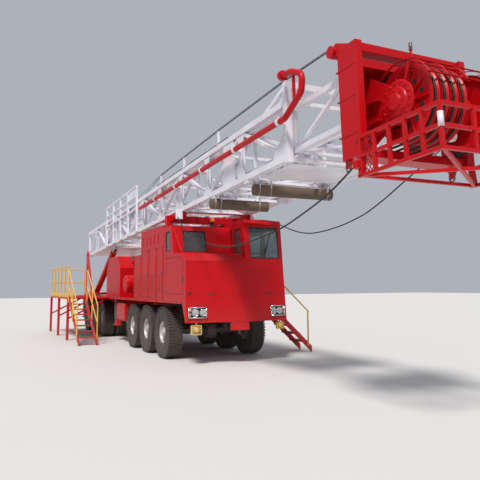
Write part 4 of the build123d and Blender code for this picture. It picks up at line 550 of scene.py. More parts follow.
def add_bar(pile, p, q, wide, deep, up=Vector((0, 0, 1))):
    """A bar of rectangular section from p to q, its deep side along up."""
    p, q = Vector(p), Vector(q)
    run = (q - p).normalized()
    across = run.cross(up).normalized()
    rise = across.cross(run).normalized()
    corners = [pile.verts.new(end + across * a * wide / 2 + rise * b * deep / 2)
               for end in (p, q) for a, b in ((-1, -1), (1, -1), (1, 1), (-1, 1))]
    for face in ((3, 2, 1, 0), (4, 5, 6, 7), (0, 1, 5, 4), (1, 2, 6, 5), (2, 3, 7, 6), (3, 0, 4, 7)):
        pile.faces.new([corners[n] for n in face])


def finish_piece(pile, name, material, body, bevel=0.0, smooth=False):
    """Turns a pile into a piece that rides on a body, or on none when no body is given."""
    bmesh.ops.recalc_face_normals(pile, faces=pile.faces)
    data = bpy.data.meshes.new(name)
    pile.to_mesh(data)
    pile.free()
    piece = bpy.data.objects.new(name, data)
    bpy.context.scene.collection.objects.link(piece)
    data.materials.append(material)
    if smooth:
        for face in data.polygons:
            face.use_smooth = len(face.vertices) == 4
    if bevel:
        rounding = piece.modifiers.new("rounding", "BEVEL")
        rounding.width = bevel
        rounding.segments = 2
        rounding.limit_method = "ANGLE"
    if body:
        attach(piece, body)
    return piece


print("helpers ready")

# %% [markdown]
# What repeats by the hundred is a job for Geometry Nodes. One tree sets copies of a small block round a
# circle, row by row, which gives tyre tread and wheel nuts alike. Sizes are named inputs, every copy is
# realized, and the result is turned into a plain mesh before it joins the truck.

# %% A Geometry Nodes tree for rings of blocks
def geometry_tree(name, inputs):
    """An empty Geometry Nodes tree with named inputs and one geometry output."""
    tree = bpy.data.node_groups.new(name, "GeometryNodeTree")
    for label, kind, value in inputs:
        socket = tree.interface.new_socket(label, in_out="INPUT", socket_type=kind)
        if value is not None:
            socket.default_value = value
    tree.interface.new_socket("Geometry", in_out="OUTPUT", socket_type="NodeSocketGeometry")
    return tree, tree.nodes.new("NodeGroupInput"), tree.nodes.new("NodeGroupOutput")


def step(tree, kind, **links):
    """A node of a kind, with its named inputs linked to sockets or set to values."""
    node = tree.nodes.new(kind)
    for label, value in links.items():
        slot = node.inputs[label.replace("_", " ")]
        if isinstance(value, bpy.types.NodeSocket):
            tree.links.new(value, slot)
        else:
            slot.default_value = value
    return node


def tree_math(tree, operation, first, second):
    """A Math node inside a geometry tree."""
    node = tree.nodes.new("ShaderNodeMath")
    node.operation = operation
    for slot, value in zip(node.inputs, (first, second)):
        if isinstance(value, bpy.types.NodeSocket):
            tree.links.new(value, slot)
        else:
            slot.default_value = value
    return node.outputs[0]


def vector_of(tree, x, y, z):
    """A Combine XYZ node's vector."""
    return step(tree, "ShaderNodeCombineXYZ", X=x, Y=y, Z=z).outputs[0]


INT, SOLID = "NodeSocketInt", "NodeSocketMaterial"


def close_tree(tree, outs, geometry, material):
    """Realizes the copies and sets their material, as every tree here ends."""
    real = step(tree, "GeometryNodeRealizeInstances", Geometry=geometry)
    painted = step(tree, "GeometryNodeSetMaterial", Geometry=real.outputs[0], Material=material)
    tree.links.new(painted.outputs[0], outs.inputs[0])


ring_tree, ins, outs = geometry_tree("rings_of_blocks", [
    ("Radius", FLOAT, 0.6), ("Count", INT, 40), ("Rows", INT, 4), ("Row Pitch", FLOAT, 0.08),
    ("Stagger", FLOAT, 0.5), ("Long", FLOAT, 0.04), ("Deep", FLOAT, 0.02), ("Wide", FLOAT, 0.06),
    ("Slant", FLOAT, 0.2), ("Material", SOLID, None),
])
given = ins.outputs
block = step(ring_tree, "GeometryNodeMeshCube",
             Size=vector_of(ring_tree, given["Deep"], given["Long"], given["Wide"])).outputs[0]
turn = tree_math(ring_tree, "DIVIDE", TAU, given["Count"])
spots = step(ring_tree, "GeometryNodeMeshLine", Count=given["Count"], Offset=(0.0, 0.0, 0.0)).outputs[0]
index = ring_tree.nodes.new("GeometryNodeInputIndex").outputs[0]
angle = tree_math(ring_tree, "MULTIPLY", index, turn)
across = tree_math(ring_tree, "MULTIPLY", tree_math(ring_tree, "COSINE", angle, 0.0), given["Radius"])
upward = tree_math(ring_tree, "MULTIPLY", tree_math(ring_tree, "SINE", angle, 0.0), given["Radius"])
away = vector_of(ring_tree, across, upward, 0.0)
placed = step(ring_tree, "GeometryNodeSetPosition", Geometry=spots, Position=away)
facing = vector_of(ring_tree, given["Slant"], 0.0, 0.0)
lean = step(ring_tree, "FunctionNodeEulerToRotation", Euler=facing).outputs[0]
spin = step(ring_tree, "FunctionNodeEulerToRotation", Euler=vector_of(ring_tree, 0.0, 0.0, angle)).outputs[0]
both = step(ring_tree, "FunctionNodeRotateRotation", Rotation=spin, Rotate_By=lean)
both.rotation_space = "LOCAL"
ring = step(ring_tree, "GeometryNodeInstanceOnPoints", Points=placed.outputs[0], Instance=block,
            Rotation=both.outputs[0]).outputs[0]
row_step = vector_of(ring_tree, 0.0, 0.0, given["Row Pitch"])
rows = step(ring_tree, "GeometryNodeMeshLine", Count=given["Rows"], Offset=row_step)
phase = tree_math(ring_tree, "MULTIPLY", tree_math(ring_tree, "MULTIPLY", index, turn), given["Stagger"])
stacked = step(ring_tree, "GeometryNodeInstanceOnPoints", Points=rows.outputs[0], Instance=ring,
               Rotation=vector_of(ring_tree, 0.0, 0.0, phase)).outputs[0]
close_tree(ring_tree, outs, stacked, given["Material"])


def grow(tree, material, **sizes):
    """Runs a tree with the given input values and returns its result as a plain mesh."""
    host = bpy.data.objects.new("growing", bpy.data.meshes.new("growing"))
    bpy.context.scene.collection.objects.link(host)
    worker = host.modifiers.new("worker", "NODES")
    worker.node_group = tree
    sockets = {item.name: item.identifier for item in tree.interface.items_tree if item.in_out == "INPUT"}
    worker[sockets["Material"]] = material
    for label, value in sizes.items():
        worker[sockets[label.replace("_", " ")]] = value
    host.update_tag()
    graph = bpy.context.evaluated_depsgraph_get()
    made = bpy.data.meshes.new_from_object(host.evaluated_get(graph))
    bpy.data.objects.remove(host)
    return made


def add_mesh(pile, made, place):
    """Adds a plain mesh to a pile, moved by a matrix."""
    start = len(pile.verts)
    pile.from_mesh(made)
    pile.verts.ensure_lookup_table()
    bmesh.ops.transform(pile, matrix=place, verts=pile.verts[start:])


print("ring tree has", len(ring_tree.nodes), "nodes")

# %% [markdown]
# A truck tyre's look is its carcass and its tread. The carcass is a cross-section turned round the
# axle, with a rounded shoulder and fine rings on its sides. The tread is four rows of blocks from the
# ring tree: slanted pairs in the middle and longer lugs on the shoulders, so the tyre is whole again at
# its real radius. One tyre is built and then copied to all eighteen places.

# %% Tyres with block tread
TREAD_DEEP = 0.020
TREAD_COUNT = 52


def lathe(pile, section, segments, place):
    """A closed (across, radius) section turned round the wheel's axle."""
    rings = []
    for k in range(segments):
        a = TAU * k / segments
        rings.append([pile.verts.new(place @ Vector((r * math.cos(a), y, r * math.sin(a))))
                      for y, r in section])
    for k in range(segments):
        first, second = rings[k], rings[(k + 1) % segments]
        for n in range(len(section)):
            m = (n + 1) % len(section)
            pile.faces.new((first[n], first[m], second[m], second[n]))


def tyre_section():
    """The carcass from one bead to the other, below the tread blocks."""
    half = TYRE_W / 2
    base = TYRE_R - TREAD_DEEP
    bead_r = 0.2615
    side = [(-half + 0.046, bead_r), (-half + 0.020, bead_r + 0.030), (-half + 0.006, bead_r + 0.075),
            (-half + 0.002, bead_r + 0.080), (-half + 0.002, bead_r + 0.092), (-half, bead_r + 0.098),
            (-half, bead_r + 0.175), (-half + 0.003, bead_r + 0.181), (-half + 0.003, bead_r + 0.194),
            (-half + 0.004, bead_r + 0.200), (-half + 0.012, base - 0.075), (-half + 0.020, base - 0.035),
            (-half + 0.045, base - 0.008), (-half + 0.10, base - 0.001)]
    return side + [(-y, r) for y, r in reversed(side)]


def tread_mesh():
    """All tread blocks of one tyre, centred on its axle, which lies along Y."""
    middle = grow(ring_tree, tyre_rubber, Radius=TYRE_R - TREAD_DEEP / 2 - 0.003, Count=TREAD_COUNT, Rows=4,
                  Row_Pitch=0.062, Stagger=0.5, Long=0.052, Deep=TREAD_DEEP + 0.004, Wide=0.050, Slant=0.30)
    shoulder = grow(ring_tree, tyre_rubber, Radius=TYRE_R - TREAD_DEEP / 2 - 0.011, Count=TREAD_COUNT, Rows=2,
                    Row_Pitch=0.292, Stagger=0.5, Long=0.050, Deep=TREAD_DEEP + 0.012, Wide=0.056, Slant=0.0)
    return middle, shoulder


def add_tyre(pile, x, y, parts):
    """One whole tyre at an axle."""
    centre = at(x, y, TYRE_R)
    lathe(pile, tyre_section(), 72, Matrix.Translation(centre))
    upright = Matrix.Rotation(math.radians(90), 4, "X")
    for made, width in zip(parts, (3 * 0.062, 0.292)):
        add_mesh(pile, made, Matrix.Translation(centre) @ upright @ Matrix.Translation((0, 0, -width / 2)))


FRONT_AXLES = (0.0, -1.43, -2.86)
REAR_AXLES = (-7.12, -8.52, -9.92)
TWIN_PITCH = 0.425
SIDES = (("left", 1), ("right", -1))
tread_parts = tread_mesh()
for side, out in SIDES:
    for number, x in enumerate(FRONT_AXLES, 1):
        pile = new_pile()
        add_tyre(pile, x, out * WHEEL_Y, tread_parts)
        body = f"front_wheel_{number}_{side}"
        tyre = finish_piece(pile, f"tyre_front_{number}_{side}", tyre_rubber, body)
        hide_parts(f"front_tyre_{number}_{side}")
    for number, x in enumerate(REAR_AXLES, 1):
        pile = new_pile()
        add_tyre(pile, x, out * WHEEL_Y, tread_parts)
        add_tyre(pile, x, out * (WHEEL_Y - TWIN_PITCH), tread_parts)
        body = f"rear_wheels_{number}_{side}"
        tyre = finish_piece(pile, f"tyres_rear_{number}_{side}", tyre_rubber, body)
        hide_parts(f"rear_tyres_{number}_{side}")
one_tyre = bpy.data.objects["tyre_front_1_left"].data
print("triangles in one tyre:", sum(len(f.vertices) - 2 for f in one_tyre.polygons))

# %% [markdown]
# The nose has two flat faces that meet in a ridge, and the left one leans back. Fittings on such a face
# are easiest to place in its own directions: across it, up it and out of it. One small class of plane
# does this for both faces and, with other corners, for every window.

# %% Planes that fittings sit on
class Face:
    """A flat place on the truck, with its own across, up and out directions."""

    def __init__(self, corner, across, up):
        self.corner = Vector(corner)
        self.across = Vector(across).normalized()
        self.up = Vector(up)
        self.out = self.across.cross(self.up).normalized()

    def __call__(self, a, b, c=0.0):
        return at(*(self.corner + self.across * a + self.up * b + self.out * c))

    def matrix(self, a, b, c=0.0):
        """Turns a mesh made in the XY plane to lie on this face."""
        rise = self.out.cross(self.across)
        turn = Matrix((self.across, rise, self.out)).transposed().to_4x4()
        return Matrix.Translation(self(a, b, c)) @ turn


NOSE_CORNER_X = 1.72
NOSE_HALF_Y = 1.27
NOSE_LOW_Z = 0.93
RIDGE_X = 1.93
RIDGE_Y = 0.15
LEFT_LEAN = math.tan(math.radians(6.2))
nose_deep = RIDGE_X - NOSE_CORNER_X
right_run, left_run = RIDGE_Y + NOSE_HALF_Y, NOSE_HALF_Y - RIDGE_Y
right_face = Face((NOSE_CORNER_X, -NOSE_HALF_Y, NOSE_LOW_Z), (nose_deep, right_run, 0), (0, 0, 1))
left_face = Face((RIDGE_X, RIDGE_Y, NOSE_LOW_Z), (-nose_deep, left_run, 0), (-LEFT_LEAN, 0, 1))
right_wide = math.hypot(nose_deep, right_run)
left_wide = math.hypot(nose_deep, left_run)
print("nose faces are", round(right_wide, 3), "and", round(left_wide, 3), "m wide")

# %% [markdown]
# Each headlamp cluster is a bright pressed bezel round two round lamps, with a small amber marker at its
# outer end. A lamp is a lathe form: a dished reflector, a raised rim and a domed lens, so one function
# turns a profile about the lamp's axis and is used for all of them.

# %% Headlamps, fog lamps and beacon
def turned_form(pile, profile, segments, place):
    """A profile of (radius, out) points turned about a placed axis, closed where it starts and ends on it."""
    rings = []
    turns = [TAU * k / segments for k in range(segments)]
    for r, c in profile:
        if r < 1e-6:
            rings.append([pile.verts.new(place @ Vector((0, 0, c)))])
        else:
            rings.append([pile.verts.new(place @ Vector((r * math.cos(a), r * math.sin(a), c)))
                          for a in turns])
    for a, b in zip(rings, rings[1:]):
        for k in range(segments):
            m = (k + 1) % segments
            if len(a) == 1:
                pile.faces.new((a[0], b[m], b[k]))
            elif len(b) == 1:
                pile.faces.new((a[k], a[m], b[0]))
            else:
                pile.faces.new((a[k], a[m], b[m], b[k]))


def add_slab(pile, face, a0, a1, b0, b1, c0, c1):
    """A slab on a face between two values each way."""
    add_box(pile, a0, a1, b0, b1, c0, c1, place=face)


LAMP_WIDE = 0.42
LAMP_TALL = 0.24
LAMP_OFF = 0.27
LAMP_UP = 0.222
LAMP_DEEP = 0.034
BEZEL_WIDE = 0.022
ROUND_R = 0.082
bezels, lenses, bowls, markers = new_pile(), new_pile(), new_pile(), new_pile()
for face, middle, toward in ((right_face, LAMP_OFF, -1), (left_face, left_wide - LAMP_OFF, 1)):
    a0, a1 = middle - LAMP_WIDE / 2, middle + LAMP_WIDE / 2
    b0, b1 = LAMP_UP - LAMP_TALL / 2, LAMP_UP + LAMP_TALL / 2
    add_slab(bowls, face, a0 + 0.01, a1 - 0.01, b0 + 0.01, b1 - 0.01, 0.0005, 0.010)
    for edge in ((a0, a1, b0, b0 + BEZEL_WIDE), (a0, a1, b1 - BEZEL_WIDE, b1),
                 (a0, a0 + BEZEL_WIDE, b0, b1), (a1 - BEZEL_WIDE, a1, b0, b1)):
        add_slab(bezels, face, *edge, 0.0008, LAMP_DEEP)
    for n in (-1, 1):
        a = middle - toward * 0.035 + n * 0.088
        spot = face.matrix(a, LAMP_UP, 0.008)
        turned_form(bezels, [(0.0, 0.0), (ROUND_R, 0.0), (ROUND_R, 0.020), (ROUND_R - 0.010, 0.026),
                             (ROUND_R - 0.016, 0.018), (0.045, 0.006), (0.0, 0.003)], 28, spot)
        dome = [(0.0665 * math.cos(q), 0.012 + 0.018 * math.sin(q)) for q in (0, 0.4, 0.8, 1.2)]
        turned_form(lenses, [(0.0, 0.008)] + dome + [(0.0, 0.030)], 28, spot)
        turned_form(bowls, [(0.016, 0.004), (0.014, 0.016), (0.0, 0.018)], 12, spot)
    end = middle + toward * (LAMP_WIDE / 2 - 0.045)
    add_slab(markers, face, end - 0.018, end + 0.018, LAMP_UP + 0.02, LAMP_UP + 0.085, 0.009, 0.026)
    add_slab(lenses, face, end - 0.018, end + 0.018, LAMP_UP - 0.085, LAMP_UP - 0.01, 0.009, 0.026)

FOG_X = 1.71
# Each row: place across, half width, low edge and high edge.
FOG_LAMPS = ((-1.015, 0.120, 0.665, 0.880), (1.085, 0.095, 0.730, 0.885))
fog_boxes = new_pile()
for y, half, low_z, high_z in FOG_LAMPS:
    middle, inner, rim = (low_z + high_z) / 2, half - 0.022, 0.022
    add_box(fog_boxes, FOG_X - 0.035, FOG_X + 0.035, y - half, y + half, low_z, high_z)
    add_box(fog_boxes, FOG_X - 0.015, FOG_X + 0.015, y - 0.02, y + 0.02, high_z, NOSE_LOW_Z - 0.0003)
    for y0, y1, z0, z1 in ((-half, half, high_z - rim, high_z), (-half, half, low_z, low_z + rim),
                           (-half, -inner, low_z, high_z), (inner, half, low_z, high_z)):
        add_box(fog_boxes, FOG_X + 0.035, FOG_X + 0.047, y + y0, y + y1, z0, z1)
    add_box(lenses, FOG_X + 0.0355, FOG_X + 0.039, y - inner, y + inner, low_z + rim, high_z - rim)
    front = Face((FOG_X + 0.041, y, middle), (0, 1, 0), (0, 0, 1))
    knob = [(0.0, -0.001), (0.056, -0.001), (0.052, 0.008), (0.028, 0.014), (0.0, 0.016)]
    turned_form(markers, knob, 24, front.matrix(0, 0))

BEACON_X = 0.65
BEACON_Y = -0.19
HOUSE_ROOF_Z = 3.18
beacon = new_pile()
top = Matrix.Translation(at(BEACON_X, BEACON_Y, HOUSE_ROOF_Z))
turned_form(bowls, [(0.0, 0.0005), (0.046, 0.0005), (0.046, 0.012), (0.037, 0.016), (0.037, 0.100),
                    (0.066, 0.104), (0.066, 0.126), (0.0, 0.126)], 24, top)
beacon_dome = [(0.0, 0.1265), (0.0605, 0.1265), (0.0605, 0.19), (0.052, 0.213), (0.028, 0.226), (0.0, 0.229)]
turned_form(beacon, beacon_dome, 24, top)

bezel_piece = finish_piece(bezels, "lamp_bezels", hard_chrome, "root", smooth=True)
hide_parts("lamps")
finish_piece(lenses, "lamp_lenses", lens_glass, "root", smooth=True)
finish_piece(bowls, "lamp_housings", black_rubber, "root", smooth=True)
finish_piece(markers, "lamp_markers", amber_plastic, "root", smooth=True)
finish_piece(fog_boxes, "fog_lamp_boxes", yellow_paint, "root", bevel=0.006)
finish_piece(beacon, "roof_beacon", orange_plastic, "root", smooth=True)
print("lamp pieces made")

# %% [markdown]
# Windows on a real cab sit in black rubber seals with rounded corners. A seal is a tube along a closed
# loop, so each window needs only its corners; the loop's corners are rounded by formula. The moving door
# gets its own pane and seal, which ride on the door.

# %% Window seals and the door's glass
def rounded_loop(corners, radius, steps=4):
    """The points of a closed outline whose corners are rounded."""
    corners = [Vector(c) for c in corners]
    loop = []
    for n, corner in enumerate(corners):
        before = (corners[n - 1] - corner).normalized()
        after = (corners[(n + 1) % len(corners)] - corner).normalized()
        for k in range(steps + 1):
            t = k / steps
            p, q = corner + before * radius, corner + after * radius
            loop.append(p * (1 - t) ** 2 + corner * 2 * t * (1 - t) + q * t ** 2)
    return loop


SEAL_R = 0.013
seals, door_seal = new_pile(), new_pile()
screen_lean = math.atan2(0.13, 0.88)
screen = Face((1.511, 0.785, 2.75), (0, 1, 0), (-math.sin(screen_lean), 0, math.cos(screen_lean)))
house_lean = math.atan2(0.17, 0.69)
WINDOWS = {
    "screen": [screen(a, b, 0.008)
               for a, b in ((-0.375, -0.369), (0.375, -0.369), (0.375, 0.369), (-0.375, 0.369))],
    "right": [at(x, 0.266, z) for x, z in ((-0.262, 2.368), (0.852, 2.368), (0.852, 3.102), (-0.262, 3.102))],
    "quarter": [at(x, 0.266, z) for x, z in ((1.008, 2.368), (1.408, 2.368), (1.321, 3.102), (1.008, 3.102))],
    "left quarter": [at(x, 1.256, z)
                     for x, z in ((0.678, 2.368), (1.408, 2.368), (1.321, 3.102), (0.678, 3.102))],
    "back": [at(-0.486, y, z) for y, z in ((0.488, 2.428), (1.072, 2.428), (1.072, 3.072), (0.488, 3.072))],
    "house side": [at(x, -1.256, z)
                   for x, z in ((0.258, 2.578), (0.582, 2.578), (0.582, 3.042), (0.258, 3.042))],
    "house front": [at(0.8332 - math.tan(house_lean) * (z - 2.55) + 0.014, y, z)
                    for y, z in ((-1.0, 2.562), (-0.43, 2.562), (-0.43, 3.058), (-1.0, 3.058))],
}
for corners in WINDOWS.values():
    add_tube(seals, rounded_loop(corners, 0.06), SEAL_R, sides=8, closed=True)
finish_piece(seals, "window_seals", black_rubber, "root", smooth=True)

door_corners = [at(x, 1.249, z)
                for x, z in ((-0.262, 2.368), (0.462, 2.368), (0.462, 3.042), (-0.262, 3.042))]
add_tube(door_seal, rounded_loop(door_corners, 0.06), SEAL_R, sides=8, closed=True)
finish_piece(door_seal, "door_seal", black_rubber, "cab_door", smooth=True)
door_glass = new_pile()
add_box(door_glass, -0.268, 0.468, 1.244, 1.250, 2.362, 3.048)
finish_piece(door_glass, "door_glass", window_glass, "cab_door")
print("windows sealed:", len(WINDOWS) + 1)

# %% [markdown]
# The nose is plain sheet steel, and small things make it read as a real cab: a folded seam that runs
# round it above the lamps, hand slots drawn as black slabs of painted shade, the knob of a latch, a wiper
# at rest on the windscreen, and rivets. They are thin, so bars on the two faces are enough.

# %% Nose seams, slots and wiper
SEAM_UP = 1.54 - NOSE_LOW_Z
seams = new_pile()
add_slab(seams, right_face, 0.0, right_wide, SEAM_UP - 0.008, SEAM_UP + 0.008, -0.002, 0.004)
add_slab(seams, left_face, 0.0, left_wide, SEAM_UP - 0.008, SEAM_UP + 0.008, -0.002, 0.004)
add_slab(seams, right_face, 0.0, right_wide, 1.352, 1.368, -0.002, 0.004)
add_slab(seams, left_face, 0.0, left_wide, 1.352, 1.368, -0.002, 0.004)
add_slab(seams, right_face, 0.0, right_wide, 0.0, 0.03, -0.002, 0.006)
add_slab(seams, left_face, 0.0, left_wide, 0.0, 0.03, -0.002, 0.006)
finish_piece(seams, "nose_seams", red_paint, "root", bevel=0.002)

dark = new_pile()
# The two slots are black slabs of painted shade standing in for recessed hand slots.
add_slab(dark, right_face, 0.52, 0.66, 0.615, 0.645, -0.001, 0.003)
add_slab(dark, left_face, left_wide - 0.56, left_wide - 0.42, 0.615, 0.645, -0.001, 0.003)
turned_form(dark, [(0.0, -0.004), (0.030, -0.004), (0.030, 0.018), (0.022, 0.026), (0.0, 0.028)], 20,
            right_face.matrix(0.085, 0.655))
wiper_foot = screen(-0.02, -0.40, 0.040)
wiper_elbow = screen(-0.01, -0.345, 0.030)
wiper_tip = screen(0.13, 0.12, 0.022)
add_tube(dark, [wiper_foot, wiper_elbow, wiper_tip], 0.007, sides=6)
add_bar(dark, screen(0.02, -0.20, 0.014), screen(0.24, 0.34, 0.014), 0.010, 0.016)
finish_piece(dark, "nose_black_parts_and_slot_shade", black_rubber, "root")
print("nose fittings made")

# %% [markdown]
# The engine cover's long side is a wall of doors. Each door is a thin raised frame with a latch, and
# below the high roof stand five narrow air slots. Pressed louvres fill the low rear part. Louvres
# repeat in rows, so they come from a second Geometry Nodes tree that lays one blade out on a grid.

# %% A Geometry Nodes tree for grids of blades
grid_tree, ins, outs = geometry_tree("grid_of_blades", [
    ("Columns", INT, 3), ("Rows", INT, 8), ("Column Pitch", FLOAT, 0.4), ("Row Pitch", FLOAT, 0.06),
    ("Long", FLOAT, 0.3), ("Deep", FLOAT, 0.02), ("Thick", FLOAT, 0.004), ("Tilt", FLOAT, 0.6),
    ("Turn", FLOAT, 0.0), ("Material", SOLID, None),
])
given = ins.outputs
blade = step(grid_tree, "GeometryNodeMeshCube",
             Size=vector_of(grid_tree, given["Long"], given["Deep"], given["Thick"])).outputs[0]
across = step(grid_tree, "GeometryNodeMeshLine", Count=given["Columns"],
              Offset=vector_of(grid_tree, given["Column Pitch"], 0.0, 0.0))
tilted = step(grid_tree, "GeometryNodeInstanceOnPoints", Points=across.outputs[0], Instance=blade,
              Rotation=vector_of(grid_tree, given["Tilt"], 0.0, given["Turn"]))
upward = step(grid_tree, "GeometryNodeMeshLine", Count=given["Rows"],
              Offset=vector_of(grid_tree, 0.0, 0.0, given["Row Pitch"]))
stacked = step(grid_tree, "GeometryNodeInstanceOnPoints", Points=upward.outputs[0],
               Instance=tilted.outputs[0])
close_tree(grid_tree, outs, stacked.outputs[0], given["Material"])
print("grid tree has", len(grid_tree.nodes), "nodes")

# %% [markdown]
# The blades are laid out on the cover's sides at the places the photograph shows: low rows behind the
# high part, with door frames, hinges and latches between them.

# %% Engine cover doors, louvres and latches
COVER_HALF_Y = 1.20
cover_frames, latches = new_pile(), new_pile()
louvres = new_pile()
panel = grow(grid_tree, red_paint, Columns=1, Rows=9, Column_Pitch=0.5, Row_Pitch=0.055, Long=0.46,
             Deep=0.030, Thick=0.004, Tilt=0.7)
for out in (-1, 1):
    y = out * COVER_HALF_Y
    for x0, x1, z0, z1 in ((-2.95, -2.30, 1.46, 2.58), (-2.18, -1.52, 1.46, 2.74), (-1.46, -0.80, 1.46, 2.74),
                           (-0.74, -0.18, 1.46, 2.74)):
        if out > 0 and x1 > -0.60:
            continue
        for a0, a1, b0, b1 in ((x0, x1, z0, z0 + 0.03), (x0, x1, z1 - 0.03, z1), (x0, x0 + 0.03, z0, z1),
                               (x1 - 0.03, x1, z0, z1)):
            add_box(cover_frames, a0, a1, y - out * 0.003, y + out * 0.008, b0, b1)
        for z in (z0 + 0.2, z1 - 0.2):
            hinge_x, hinge_y = x0 + 0.012, y + out * 0.010
            add_tube(latches, [at(hinge_x, hinge_y, z - 0.05), at(hinge_x, hinge_y, z + 0.05)], 0.010)
        add_box(latches, x1 - 0.11, x1 - 0.05, y, y + out * 0.018, 2.04, 2.10)
        add_mesh(louvres, panel, Matrix.Translation(at((x0 + x1) / 2, y, z0 + 0.14)))
finish_piece(cover_frames, "engine_cover_frames", red_paint, "root", bevel=0.002)
finish_piece(louvres, "engine_cover_louvres", red_paint, "root")
finish_piece(latches, "engine_cover_latches", worn_steel, "root", bevel=0.002)
print("cover doors and louvres made")

# %% [markdown]
# The mast's sides are welded up from square tube, and every joint between a post and the chords carries a
# flared plate. Seen from the nose these plates are what makes the lattice look solid. A plate is just an
# outline pushed out to its thickness, so one helper makes them all, in the mast's own directions.

# %% Plates on the mast's sides
STATION_START = -0.095
STATION_PITCH = 1.754
POST_FACE_Y = 0.930
CHORD = 0.11
MAST_DEPTH = 1.05


def add_plate(pile, outline, y0, y1, place=on_mast):
    """A flat plate with an outline of (u, v) points, between two values across the truck."""
    near, far = ([pile.verts.new(place(u, y, v)) for u, v in outline] for y in (y0, y1))
    pile.faces.new(near)
    pile.faces.new(list(reversed(far)))
    for n in range(len(outline)):
        m = (n + 1) % len(outline)
        pile.faces.new((near[n], near[m], far[m], far[n]))


def flared(u, waist, foot):
    """The outline of a post's plate, narrow in the middle and wide where it meets the chords."""
    low, high = CHORD, MAST_DEPTH - CHORD
    return [(u - foot, low), (u + foot, low), (u + waist, low + 0.20), (u + waist, high - 0.20),
            (u + foot, high), (u - foot, high), (u - waist, high - 0.20), (u - waist, low + 0.20)]


stations = [STATION_START + STATION_PITCH * n for n in range(11)]
mast_plates = new_pile()
for out in (-1, 1):
    face0, face1 = out * (POST_FACE_Y + 0.0002), out * (POST_FACE_Y + 0.008)
    for u in stations[1:-1]:
        add_plate(mast_plates, flared(u, 0.075, 0.19), face0, face1)
    add_plate(mast_plates, [(14.80, CHORD), (15.42, CHORD), (15.36, 0.94), (14.86, 0.94)], face0, face1)
    add_plate(mast_plates, [(16.56, 1.05), (17.38, 1.05), (17.38, 1.24)], out * 0.885, out * 0.893)
    add_plate(mast_plates, [(16.95, CHORD), (17.38, CHORD), (17.38, 0.55)], out * 0.9302, out * 0.938)
for u in stations[4:-1]:
    shim = [(u - 0.13, -0.008), (u + 0.13, -0.008), (u + 0.13, -0.0005), (u - 0.13, -0.0005)]
    add_plate(mast_plates, shim, -0.77, 0.77)
add_box(mast_plates, 16.2, 17.3, -0.77, 0.77, -0.008, -0.0005, place=on_mast)
finish_piece(mast_plates, "mast_side_plates", white_paint, "mast", bevel=0.002)
print("plates at", len(stations[1:-1]), "stations a side")

# %% [markdown]
# The red standpipe is held off the mast by white split clamps. Small pipes and cables run along the top
# chord, and short posts carry the thin wires that lead back from the crown.

# %% Pipe clamps, small pipes and wire posts
PIPE_Y = -1.07
PIPE_V = 0.64
CLAMP_HALF = 0.035
CLAMP_R = 0.064
POST_Y = -0.915
POST_WIDE = 0.05
CHORD_TOP_V = 1.0502
SIDEWAYS = Vector((1, 0, 0))
pipe_clamps = new_pile()
for u in stations[6:]:
    clamp = [on_mast(u - CLAMP_HALF, PIPE_Y, PIPE_V), on_mast(u + CLAMP_HALF, PIPE_Y, PIPE_V)]
    add_tube(pipe_clamps, clamp, CLAMP_R, sides=24)
    inward = -0.9504 if u > 17 else -0.9384
    add_box(pipe_clamps, u - 0.034, u + 0.034, PIPE_Y, inward, PIPE_V - 0.046, PIPE_V + 0.046, place=on_mast)
    for v in (-0.075, 0.075):
        bolt_v = PIPE_V + v
        add_box(pipe_clamps, u - 0.014, u + 0.014, PIPE_Y - 0.012, PIPE_Y + 0.012, bolt_v - 0.016,
                bolt_v + 0.016, place=on_mast)
WIRE_POSTS = ((14.57, 1.37), (12.40, 1.34), (10.50, 1.30))
for u, top in WIRE_POSTS:
    foot, head = on_mast(u, POST_Y, CHORD_TOP_V), on_mast(u, POST_Y, top - 0.02)
    add_bar(pipe_clamps, foot, head, POST_WIDE, POST_WIDE, up=SIDEWAYS)
    add_box(pipe_clamps, u - 0.05, u + 0.05, POST_Y - 0.05, POST_Y + 0.05, CHORD_TOP_V, 1.062, place=on_mast)
foot, head = on_mast(17.445, POST_Y, 1.3552), on_mast(17.445, POST_Y, 1.385)
add_bar(pipe_clamps, foot, head, POST_WIDE, POST_WIDE, up=SIDEWAYS)
finish_piece(pipe_clamps, "standpipe_clamps", white_paint, "mast", bevel=0.003)

chord_pipes = new_pile()
for y, lift, u0, u1 in ((-0.935, 0.015, 10.2, 15.1), (-0.905, 0.013, 8.6, 14.3), (-0.876, 0.011, 10.9, 13.6)):
    steps = 24
    path = [on_mast(u0 + (u1 - u0) * k / steps, y + 0.004 * math.sin(k * 1.7),
                    1.0505 + lift + 0.003 * math.sin(k * 0.9))
            for k in range(steps + 1)]
    path = [on_mast(u0 - 0.03, y, 0.98)] + path if y > -0.9 else path
    add_tube(chord_pipes, path, lift, sides=8)
finish_piece(chord_pipes, "top_chord_pipes", black_rubber, "mast", smooth=True)
print("clamps:", len(stations[6:]), "posts:", len(WIRE_POSTS))

# %% [markdown]
# Thin wires run taut from the crown to the posts on the lower mast. Each wire has points only at its
# bends, so it stays straight between them.

# %% Taut wires between the crown and the lower mast
for number, (shift, rise) in enumerate(((0.0, 0.0), (0.030, 0.012), (-0.030, -0.004)), 1):
    y = POST_Y + shift
    route = [(18.93, y - 0.03, 1.318 + rise), (17.445, y, 1.392 + rise), (14.57, y, 1.378 + rise),
             (12.40, y, 1.347 + rise), (10.50, y, 1.307 + rise), (9.30 - 0.4 * number, y, 1.06)]
    wire = new_pile()
    add_tube(wire, [on_mast(*p) for p in route], 0.0055, sides=6)
    wire_piece = finish_piece(wire, f"crown_wire_{number}", wire_line, None)
    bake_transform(wire_piece)
print("crown wires: 3")

# %% [markdown]
# Two round timbers hang under the mast in bands of flat strap. Each band is a ring round the log with its
# ends carried up to the chord.

